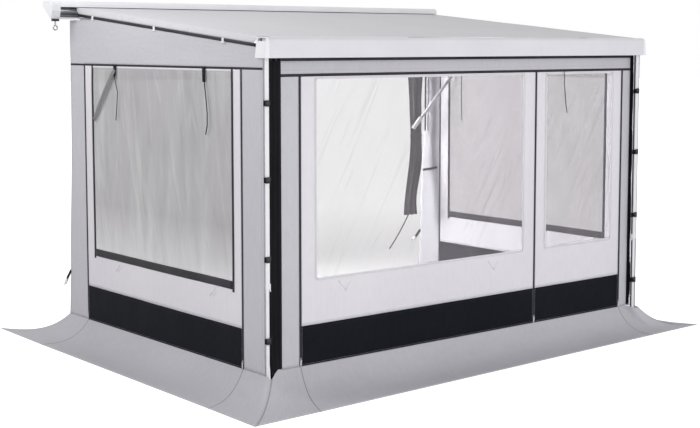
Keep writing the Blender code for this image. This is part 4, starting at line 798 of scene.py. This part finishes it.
def build_side_trim(side, word, out):
    film = SIDE_RIM
    on_wall = partial(side_point, side)
    run = runs_on(on_wall)
    zips = [run(y, HEM_Z, y, SIDE_ZIP_Z) for y in (ZIP_SIDE_FRONT, ZIP_SIDE_REAR)]
    zips.append(run(SIDE_LOW.y + 0.004, SIDE_ZIP_Z, rear_edge(SIDE_ZIP_Z) - 0.004, SIDE_ZIP_Z))
    widths = (ZIP_WIDTH, ZIP_WIDTH, ZIP_WIDTH * 0.8)
    for piece in build_zips("side_zip_{}_" + word, zips, widths, out, CASE_BODY):
        crumple_side(piece)

    # rubber bindings of the window: upright ones past its foot, a wider one below
    foot = film[2] - 0.030
    edge, sill = pillow(0.020, 0.0035, 0.0035), pillow(0.050, 0.0040, 0.0035)
    bindings = [(run(film[0], SIDE_ZIP_Z - 0.006, film[0], foot), out, edge),
                (run(film[1], SIDE_ZIP_Z - 0.006, film[1], foot), out, edge),
                (run(film[0] + 0.008, film[2] + 0.010, film[1] - 0.008, film[2] + 0.010), out, sill)]
    side_strips(f"window_bindings_{word}", bindings, SEAL)

    grey = zip_seams(run, (ZIP_SIDE_FRONT, ZIP_SIDE_REAR), SIDE_ZIP_Z)
    grey += [run(SIDE_LOW.y + 0.006, SIDE_ZIP_Z + 0.0115, ZIP_SIDE_REAR, SIDE_ZIP_Z + 0.0115),
             run(SIDE_LOW.y + 0.022, HEM_Z, SIDE_LOW.y + 0.022, SIDE_ZIP_Z),
             [rear_point(side, 0.955, HEM_Z + (SIDE_ZIP_Z - HEM_Z) * share) for share in shares(60)],
             level_seam(run, ZIP_SIDE_FRONT, ZIP_SIDE_REAR, HEM_SEAM)]
    pale = [level_seam(run, ZIP_SIDE_FRONT, ZIP_SIDE_REAR, BAND_SEAM), *frame_of(on_wall, film, 0.017)[1::2]]
    crumple_side(stitches(f"side_grey_stitches_{word}", grey, out, THREAD_GREY, CASE_BODY))
    crumple_side(stitches(f"side_pale_stitches_{word}", pale, out, THREAD_PALE, CASE_BODY))

    side_strips(f"side_window_ties_{word}", slant_ties(
        run, out, ((-0.640, -1.745), (-1.795, -1.745)), (0.020, -0.030, -0.045, 0.030),
        (-0.012, -0.032, -0.050, 0.008)), TIE)


def build_roll_up_straps(out):
    """Straps that hang before the left window from the top zip, to tie it up in; the photo shows none right."""

    def hang(points, width, thick=0.0012):
        line = [side_point(-1, y, z) + out * (0.007 + deep) for y, z, deep in points]
        return (line, out, pillow(width, thick))

    top = SIDE_ZIP_Z + 0.002
    tabs = [hang([(-0.655, top, 0.0), (-0.652, top - 0.035, 0.001), (-0.648, top - 0.075, 0.002)], 0.036, 0.003),
            hang([(-1.736, top, 0.0), (-1.738, top - 0.040, 0.001), (-1.740, top - 0.090, 0.002)], 0.032, 0.003)]
    thin = [hang([(-0.650, top - 0.070, 0.002), (-0.700, top - 0.180, 0.006), (-0.690, top - 0.290, 0.008),
                  (-0.672, top - 0.370, 0.006)], 0.010),
            hang([(-1.742, top - 0.085, 0.002), (-1.763, top - 0.180, 0.006), (-1.780, top - 0.280, 0.008),
                  (-1.778, top - 0.350, 0.007), (-1.756, top - 0.410, 0.005)], 0.010)]
    slant = [hang([(-0.655 + 0.287 * s, top - 0.030 - 0.350 * s, 0.004 + 0.004 * math.sin(3.0 * s))
                   for s in shares(10)], 0.034)]
    side_strips("roll_up_tabs_left", tabs + thin, WEBBING)
    side_strips("storm_strap_left", slant, STRAP_GREY)


# the roof

def build_roof():
    sag = 0.010
    flap = 0.045
    inner = SIDE_X - 0.0015
    rear, front = CANOPY_HIGH.y, CANOPY_LOW.y
    run = (rear - front) / math.cos(SLOPE)

    def place(u, y):
        top = roof_height(y)
        down = (y - rear) / (front - rear)
        if abs(u) > inner:
            over = abs(u) - inner
            turn = math.cos(min(1.0, over / 0.006) * math.pi / 2)
            hem = ease((y - front) / 0.03) * ease((KEDER_HIGH.y + 0.03 - y) / 0.03)
            return Vector((math.copysign(SIDE_X - 0.0004 - 0.0012 * turn, u), y, top - over * hem))
        share = (u + inner) / (2 * inner)
        tension = math.sin(math.pi * down)
        waves = 0.0022 * tension * drift(u * 1.1, y * 2.6, 6.1) + 0.0014 * drift(u * 4.0, y * 1.2, 2.2) * tension
        return Vector((u, y, top - sag * tension * math.sin(math.pi * share) + waves - 0.0004))

    over = [inner + step for step in (0.003, 0.006, flap * 0.4, flap * 0.7, flap)]
    columns = [-u for u in reversed(over)] + places(-inner, inner, 0.03) + over
    mesh = cloth_mesh("roof_sheet", columns, places(front, rear, 0.03, KEDER_LOW.y, KEDER_HIGH.y), place,
                      facing=(0, 0, 1))
    cloth_piece(mesh, VINYL, CASE_BODY, "canopy_vinyl", "canopy", crumple_roof, flat=(2 * (inner + flap), run),
                held="stretched", rests_on=["roller_tube", "lead_rail"])
    # the welds where the flaps' pockets meet the roof
    inset = SIDE_X - 0.055
    welds = [[place(u, y) for y in places(front + 0.02, rear - 0.05, 0.05)] for u in (-inset, inset)]
    roof_strips("roof_welds", [(weld, UP, pillow(0.010, 0.0010)) for weld in welds], VINYL)


def build_keder(side, word, out):
    """The rubber keder under the roof's flap, and the white clips that hold the wall to it."""

    def place(y, rise=0.0):
        return Vector((side * (SIDE_X + 0.0002), y, keder_height(y) + rise))

    line = [place(y) for y in places(KEDER_LOW.y, KEDER_HIGH.y, 0.05)]
    piece = roof_strips(f"keder_profile_{word}", [(line, out, pillow(0.019, 0.0045, 0.0035))], SEAL)
    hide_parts(f"keder_strip_{word}")
    clips, ticks = [], []
    for y in (-0.356, -1.159, -1.944):
        clips.append(([place(y, -0.016), place(y, -0.011), place(y, 0.006), place(y, 0.012)], out,
                      pillow(0.020, 0.0095, 0.001)))
        clips.append(([place(y - 0.018, -0.015), place(y + 0.018, -0.015)], out, pillow(0.010, 0.0090, 0.001)))
    for y in (-0.751, -1.549, -2.240):
        ticks.append(([place(y + 0.004, 0.008), place(y, 0.040)], out, pillow(0.006, 0.0014, 0.001)))
    roof_strips(f"wall_clips_{word}", clips, MOULDED)
    roof_strips(f"flap_bartacks_{word}", ticks, TIE)


# the skirts

def skirt_place(top, foot, down, seed):
    """A skirt falls steeply from its top edge and flattens out on the ground."""
    share = down ** 1.5
    lift = 0.0022
    height = lift + (top[2] - lift) * (1 - share) ** FALL
    x = top[0] + (foot[0] - top[0]) * share
    y = top[1] + (foot[1] - top[1]) * share
    ripple = 0.004 * math.sin(math.pi * min(1.0, share * 1.4)) * max(0.0, drift(x * 2.3, y * 2.3, seed))
    return Vector((x, y, GROUND + height + ripple))


def along_line(points, share):
    """A point of a polyline given as (share, x, y, height)."""
    for a, b in zip(points, points[1:]):
        if share <= b[0]:
            part = (share - a[0]) / (b[0] - a[0])
            return [a[k] + (b[k] - a[k]) * part for k in range(1, len(a))]
    return list(points[-1][1:])


SKIRT_ROWS = shares(22)
HEM = HEM_Z - GROUND
FRONT_TOP = [
    (0.0, -1.652, -2.363, 0.128), (0.03, -1.605, -2.330, 0.150), (0.06, -1.560, -2.300, 0.164),
    (0.09, -1.505, -2.2905, HEM), (0.13, ZIP_LEFT, -2.2905, HEM), (0.90, ZIP_RIGHT, -2.2905, HEM),
    (0.94, 1.628, -2.2905, HEM), (0.95, 1.640, -2.350, HEM), (0.965, 1.668, -2.364, HEM - 0.012),
    (1.0, 1.704, -2.366, 0.146),
]
FRONT_FOOT = [
    (0.0, *CORNER_LEFT), (0.13, -1.575, -2.735), (0.90, 1.53, -2.633), (1.0, *CORNER_RIGHT),
]


def side_lines(side):
    if side < 0:
        notch = [(-1.688, -2.364, 0.150), (-1.652, -2.363, 0.128)]
        corner = CORNER_LEFT
        edge = 2.030
    else:
        notch = [(1.698, -2.350, 0.152), (1.704, -2.366, 0.146)]
        corner = CORNER_RIGHT
        edge = 2.075
    x = side * (SIDE_X + 0.0005)
    top = [
        (0.0, *notch[1]), (0.025, *notch[0]), (0.05, x, -2.340, HEM), (0.14, x, ZIP_SIDE_FRONT, HEM),
        (0.86, x, ZIP_SIDE_REAR, HEM), (1.0, x, REAR_FOOT_Y, HEM),
    ]
    foot = [
        (0.0, *corner), (0.14, side * edge * 1.003, -2.27), (0.86, side * edge * 0.993, -0.135),
        (1.0, side * edge * 0.985, REAR_REACH),
    ]
    if side > 0:
        # behind its corner this skirt's foot is drawn in a little, in one slow wave
        foot[1:2] = [(0.08, 2.012, -2.440), (0.14, 1.985, -2.270), (0.22, 2.005, -2.030), (0.36, 2.060, -1.600)]
    return top, foot


def seam_strip(place, u, width):
    """A folded seam down a skirt from its top edge to the ground."""
    line, outs = [], []
    for v in SKIRT_ROWS:
        spot = place(u, v)
        beside, below = place(u + 0.004, v) - spot, place(u, min(1.0, v + 0.02)) - place(u, max(0.0, v - 0.02))
        up = beside.cross(below).normalized()
        line.append(spot)
        outs.append(up if up.z > 0 else -up)
    return (line, outs, pillow(width, 0.0014, 0.0008))


def build_skirts():
    columns = places(0.0, 1.0, 0.008, 0.03, 0.06, 0.09, 0.13, 0.90, 0.94, 0.965)

    def front(u, v):
        return skirt_place(along_line(FRONT_TOP, u), along_line(FRONT_FOOT, u), v, 1.7)

    mesh = cloth_mesh("front_ground_skirt", columns, SKIRT_ROWS, front, facing=(0, -1, 1))
    set_flat_map(mesh, 3.75, 0.50)
    cloth_piece(mesh, SKIRT, FRONT_BODY, "grey_cloth", "front_skirt", flat=(4.16, 0.56), held="laid",
                rests_on=["front_surround"], area=sheet_area(mesh))
    # the seams' darker line is painted shade
    front_strips("front_skirt_seams", [seam_strip(front, u, 0.006) for u in (0.004, 0.13, 0.90)], SEAM_SHADED)
    for side, word in WORDS.items():
        top, foot = side_lines(side)
        columns = places(0.0, 1.0, 0.01, 0.025, 0.05, 0.14, 0.86)

        def aside(u, v, top=top, foot=foot):
            return skirt_place(along_line(top, u), along_line(foot, u), v, 4.4)

        mesh = cloth_mesh(f"side_ground_skirt_{word}", columns, SKIRT_ROWS, aside, facing=(side, 0, 1))
        set_flat_map(mesh, 3.0, 0.45)
        cloth_piece(mesh, SKIRT, CASE_BODY, "grey_cloth", f"side_skirt_{word}", crumple_side, flat=(3.34, 0.58),
                    held="laid", rests_on=[f"side_surround_{word}"], area=sheet_area(mesh))
        side_strips(f"side_skirt_seams_{word}", [seam_strip(aside, u, 0.006) for u in (0.14, 0.86)], SEAM_SHADED)


def set_flat_map(mesh, width, depth):
    """Turns a skirt's shares into metres of its flat cut."""
    for loop in mesh.uv_layers["flat_cut"].data:
        loop.uv = (loop.uv[0] * width, loop.uv[1] * depth)


def sheet_area(mesh):
    return sum(face.area for face in mesh.polygons)


# the corners: black strips, loops round the legs, straps at the rear

LOOP_SHARES = (0.8733, 0.6512, 0.4192, 0.1781)


def strip_edge(side, z):
    """How far a corner strip reaches towards its leg: the loops pull it out."""
    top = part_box("corner_strip_left")[1].z
    pulls = [math.exp(-((z - level(share * (top - GROUND))) / 0.11) ** 2) for share in LOOP_SHARES]
    if side < 0:
        return WALL_LOW.x - 0.119 - 0.006 * max(pulls) + 0.003 * drift(z * 3.0, 0.0, 5.1)
    return FRONT_RIGHT + 0.004 + 0.014 * max(pulls) + 0.002 * drift(z * 3.0, 0.0, 2.6)


def build_corner(side, word):
    low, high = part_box(f"corner_strip_{word}")
    start = FRONT_LEFT + 0.012 if side < 0 else FRONT_RIGHT - 0.030
    folds = 3 if side < 0 else 1
    # the left strip runs down into the notch between the skirts
    point = 0.050 if side < 0 else 0.0

    def place(u, z):
        edge = strip_edge(side, z)
        wave = math.sin(math.pi * folds * (u + 0.05 * drift(z * 1.5, u, 3.3))) ** 2
        depth = (0.009 + 0.003 * drift(z * 2.0, u * 2.0, 8.8)) * wave * ease((z - low.z) / 0.10)
        tip = point * ease(u * 1.3) * (1 - ease((z - low.z) / 0.25))
        return Vector((start + (edge - start) * u, WALL_Y - 0.0026 - depth - 0.4 * tip, z - tip))

    mesh = cloth_mesh(f"corner_strip_cloth_{word}", shares(folds * 8),
                      places(low.z, high.z, 0.02), place, facing=(0, -1, 0))
    set_flat_map(mesh, 0.14 if side < 0 else 0.05, 1.0)
    length = high.z - low.z
    cloth_piece(mesh, CORNER, FRONT_BODY, "black_cloth", f"corner_strip_{word}",
                flat=(sheet_area(mesh) / length, length), held="hung", rests_on=["front_surround"])

    loops, stays = [], []
    leg, half_x, half_y = side * LEG_X, side * 0.0195, 0.0175
    ring = [(half_x, half_y), (half_x, -half_y), (-half_x, -half_y), (-half_x, half_y * 0.4)]
    for share in LOOP_SHARES:
        z = level(share * (high.z - GROUND))
        line = [Vector((strip_edge(side, z) - side * 0.030, WALL_Y - 0.010, z + 0.002)),
                Vector((leg + half_x * 0.2, LEG_Y + half_y + 0.004, z))]
        line += [Vector((leg + x, LEG_Y + y, z - 0.002 * i)) for i, (x, y) in enumerate(ring)]
        loops.append((rounded_line(line, 0.006), UP, on_edge(pillow(0.032, 0.0018))))
        stay = [Vector((leg, LEG_Y - half_y - 0.001, z + rise)) for rise in (-0.020, 0.016)]
        stays.append((stay, FRONT_OUT, pillow(0.030, 0.0060, 0.001)))
    front_strips(f"leg_loops_{word}", loops, WEBBING)
    front_strips(f"loop_toggles_{word}", stays, NYLON)


def rounded_line(points, radius):
    """A polyline with its corners cut by short chords."""
    line = [points[0]]
    for before, corner, after in zip(points, points[1:], points[2:]):
        back, on = (before - corner).normalized(), (after - corner).normalized()
        line += [corner + back * radius, corner + (back + on) * radius * 0.3, corner + on * radius]
    return line + [points[-1]]


def build_rear_strap(word, out):
    low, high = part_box(f"rear_strap_{word}")
    x = (low.x + high.x) / 2
    top, foot = Vector((x, low.y + 0.008, high.z - 0.008)), Vector((x, high.y - 0.012, low.z + 0.012))
    along = foot - top
    body = [top + along * s + out * (0.002 * math.sin(3.0 * s)) for s in (0.0, 0.15, 0.3, 0.45, 0.62)]
    piece = side_strips(f"rear_strap_webbing_{word}", [(body, out, pillow(0.025, 0.0012, 0.0006))], WEBBING)
    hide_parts(f"rear_strap_{word}")
    clip = [top + along * s for s in (0.55, 0.62, 0.80, 0.86)]
    hook = [top + along * 0.84, top + along * 0.93 + Vector((0, 0.006, 0)), top + along * 1.0]
    side_strips(f"rear_strap_clip_{word}", [(clip, out, pillow(0.028, 0.0035, 0.0035)),
                                            (hook, out, pillow(0.009, 0.0025, 0.0025))], MOULDED)


# the zips' sliders

def build_slider(node, place, out):
    """A slider with its bridge, and a pull tape that hangs from it; it rides on its own body."""
    across = out.cross(UP)
    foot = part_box(node)[0].z

    def spots(*rows):
        return [Vector((place.x, place.y, foot + rise)) + out * lift + across * sway for rise, lift, sway in rows]

    body = spots((0.030, 0.0, 0.0), (0.034, 0.0, 0.0), (0.046, 0.0, 0.0), (0.052, 0.0, 0.0))
    bridge = spots((0.031, 0.002, 0.0), (0.034, 0.0052, 0.0), (0.046, 0.0052, 0.0), (0.050, 0.002, 0.0))
    pull = spots((0.038, 0.005, 0.0), (0.030, 0.0045, 0.0005), (0.016, 0.003, 0.001), (0.001, 0.003, 0.0015))
    word = node.removeprefix("zip_")
    cast = [(body, out, pillow(0.012, 0.0036, 0.0002)), (bridge, out, pillow(0.005, 0.0012))]
    metal = strips_piece(f"{word}_body", cast, CAST, node)
    tape = strips_piece(f"{word}_pull", [(pull, out, pillow(0.010, 0.0016, 0.0006))], TIE, node)
    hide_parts(node)
    return metal, tape


def build_sliders():
    """The front's three sliders, and two on each side wall."""
    off = 0.0018
    for word in ("front", "door", "corner"):
        low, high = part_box(f"zip_slider_{word}")
        build_slider(f"zip_slider_{word}", Vector(((low.x + high.x) / 2, WALL_Y - off, 0.0)), FRONT_OUT)
    for side, word in WORDS.items():
        for end in ("front", "rear"):
            low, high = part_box(f"zip_slider_{word}_{end}")
            place = Vector((side * (SIDE_X + off), (low.y + high.y) / 2, 0.0))
            for piece in build_slider(f"zip_slider_{word}_{end}", place, Vector((side, 0.0, 0.0))):
                crumple_side(piece)


# inside the room: what shows through the windows

def build_rear_curtain():
    """The gathered curtain that seals the room to the vehicle's side, rolled up at the right."""
    top, foot = -0.075, -1.700
    pleats = 2.5

    def place(u, z):
        down = (top - z) / (top - foot)
        width = 0.170 - 0.062 * ease(down * 5 - 1.1) + 0.008 * math.sin(19 * down) + 0.012 * ease(down * 9 - 8)
        centre = 1.568 - 0.056 * ease(down * 3.4 - 2.3) + 0.005 * math.sin(11 * down + 1.0)
        deep = (0.018 + 0.005 * drift(u * 3.0, z * 2.0, 1.1)) * math.sin(2 * math.pi * pleats * u + 1.5 * down)
        return Vector((centre + width * (u - 0.5), -0.040 - 0.006 * down + deep, z))

    mesh = cloth_mesh("rear_curtain", shares(72), places(foot, top, 0.03), place, facing=(0, -1, 0))
    set_flat_map(mesh, 0.52, 1.0)
    # its cloth carries painted fold shadows
    piece = show("rear_curtain", mesh, CURTAIN_FOLD_SHADED, CASE_BODY, thickness=CLOTH)
    tie = [Vector((1.570 + 0.062 * math.cos(math.tau * s), -0.045 + 0.034 * math.sin(math.tau * s), -1.020))
           for s in shares(16)]
    tail = [Vector((1.515 - 0.268 * s, -0.066 - 0.006 * s, foot + 0.080 - 0.350 * s - 0.02 * math.sin(3.1 * s)))
            for s in shares(8)]
    hanger = [Vector((1.676 - 0.004 * s, -0.050, -0.075 - 0.905 * s)) for s in shares(12)]
    strips_piece("curtain_ties", [(tie, UP, on_edge(pillow(0.012, 0.0012))), (tail, FRONT_OUT, pillow(0.012, 0.001)),
                                  (hanger, FRONT_OUT, pillow(0.019, 0.0012))], WEBBING, CASE_BODY)


def build_wall_prop():
    """The white pole that leans from a loop on the right wall to the gathered curtain."""
    top, foot = Vector((1.672, -0.415, -0.465)), Vector((1.500, -0.085, -0.955))
    out = Vector((-0.6, -0.8, 0.0))
    along = foot - top

    def tube(radius):
        return [(radius * math.cos(math.tau * s), radius * math.sin(math.tau * s)) for s in shares(12)[:-1]]

    def part(name, section, material, *shares_down):
        side_strips(name, [([top + along * s for s in shares_down], out, section)], material)

    radius = 0.0125
    part("wall_prop", tube(radius), POWDER, 0.0, 0.86)
    part("prop_foot", tube(radius * 1.45), MOULDED, 0.80, 0.83, 0.97, 1.0)
    loop = [Vector((SIDE_X - 0.004, -0.415, SIDE_ZIP_Z + 0.004)), Vector((SIDE_X - 0.009, -0.415, SIDE_ZIP_Z - 0.03)),
            Vector((1.677, -0.414, -0.475))]
    inward = Vector((-1.0, 0.0, 0.0))
    stay = [Vector((1.681, -0.012 - 0.185 * s, -1.325 + 0.035 * s)) for s in shares(6)]
    band = pillow(0.020, 0.0015)
    side_strips("prop_loop", [(loop, inward, band), (stay, inward, band)], WEBBING)


build_front_wall()
build_front_trim()
build_roof()
for side, word in WORDS.items():
    out = Vector((side, 0.0, 0.0))
    build_side_wall(side, word, out)
    build_side_trim(side, word, out)
    if side < 0:
        build_roll_up_straps(out)
    build_keder(side, word, out)
    build_corner(side, word)
    build_rear_strap(word, out)
build_skirts()
build_sliders()
build_rear_curtain()
build_wall_prop()


# finishes of the hard parts, which keep their shape

FINISHES = [
    (CASE_COAT_LIT, "cassette_housing"),
    (POWDER, "wall_adapter lead_rail upper_arm_left upper_arm_right forearm_left forearm_right"),
    (MOULDED, "case_end_cap_left case_end_cap_right rail_end_cap_left rail_end_cap_right leg_pivot_left "
              "leg_pivot_right clamp_lever_left clamp_lever_right"),
    (CAST, "shoulder_bracket_left shoulder_bracket_right wrist_bracket_left wrist_bracket_right"),
    (LEG_COAT_LIT, "leg_outer_left leg_outer_right leg_inner_left leg_inner_right"),
    (NYLON, "gearbox leg_foot_left leg_foot_right"),
    (ROLLER, "crank_eye roller_tube"),
]
for finish, nodes in FINISHES:
    for node in nodes.split():
        for material_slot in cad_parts[node].material_slots:
            material_slot.material = finish


# stage, lights and camera

def seen_by(tree, *rays):
    """1 for the camera's rays and the named kinds, 0 for the rays that carry light."""
    path = add(tree, "ShaderNodeLightPath", {}).outputs
    seen = path["Is Camera Ray"]
    for ray in rays:
        seen = calculate(tree, "MAXIMUM", seen, path[f"Is {ray} Ray"])
    return seen


def build_stage():
    floor_mesh = bpy.data.meshes.new("floor")
    reach, down = 60.0, GROUND - 0.0005
    corners = [(-reach, -reach, down), (reach, -reach, down), (reach, reach, down), (-reach, reach, down)]
    floor_mesh.from_pydata(corners, [], [(0, 1, 2, 3)])
    floor = put("floor", floor_mesh)
    material, tree, shader = start_material("pale_floor", 0.9, 0.0)
    # near the object the floor keeps its shadow, farther out it fades into the white backdrop
    away = add(tree, "ShaderNodeVectorMath", {0: spot_on(tree, "Object")}, operation="LENGTH").outputs["Value"]
    white = calculate(tree, "MULTIPLY", seen_by(tree, "Transmission"), map_range(tree, away, 0.60, 1.0, 3.0, 7.0))
    fill(tree, shader, {"Base Color": linear("#F4F4F4"), "Emission Color": linear("#FFFFFF"),
                        "Emission Strength": white})
    floor_mesh.materials.append(material)
    world = bpy.data.worlds.new("studio")
    bpy.context.scene.world = world
    world.use_nodes = True
    tree = world.node_tree
    strength = map_range(tree, seen_by(tree, "Glossy", "Transmission"), 0.58, 1.0)
    fill(tree, tree.nodes["Background"], {"Color": linear("#FFFFFF"), "Strength": strength})


def add_lamp(name, place, target, size, watts, spread=180.0):
    light = bpy.data.lights.new(name, "AREA")
    light.shape = "DISK"
    light.size = size
    light.energy = watts
    light.spread = math.radians(spread)
    lamp = put(name, light)
    lamp.location = place
    lamp.rotation_euler = (Vector(target) - Vector(place)).to_track_quat("-Z", "Y").to_euler()
    lamp.visible_camera = False
    return lamp


def build_camera():
    camera = put("camera", bpy.data.cameras.new("camera"))
    camera.data.sensor_width = 36.0
    camera.data.lens = 69.54
    camera.data.shift_y = -0.0629
    camera.data.clip_end = 200.0
    camera.location = (-6.2245, -8.6785, -0.2375)
    camera.rotation_euler = (math.radians(90 - 5.311), 0.0, math.radians(-39.276))
    bpy.context.scene.camera = camera


build_stage()
add_lamp("key", (1.5, -9.5, 0.0), (0.0, -1.2, -1.2), 6.0, 225.0)
add_lamp("front_left", (-3.5, -6.5, -0.5), (-1.5, -2.4, -2.0), 2.5, 38.0)
add_lamp("fill", (-8.5, 1.0, 1.0), (0.0, -1.2, -1.2), 6.0, 80.0)
add_lamp("left_top", (-3.4, -1.0, 1.2), (-1.7, -1.2, -0.6), 1.6, 27.0)
add_lamp("top", (-1.0, 0.0, 3.5), (-0.6, -0.8, 0.0), 2.5, 20.0)
room = add_lamp("room", (-1.0, 2.4, -0.6), (1.69, -1.1, -1.0), 2.0, 125.0, 80.0)
# it lights the room's inner side and leaves no glare on the windows
room.visible_glossy = False
build_camera()
bpy.context.scene.view_settings.view_transform = "Standard"
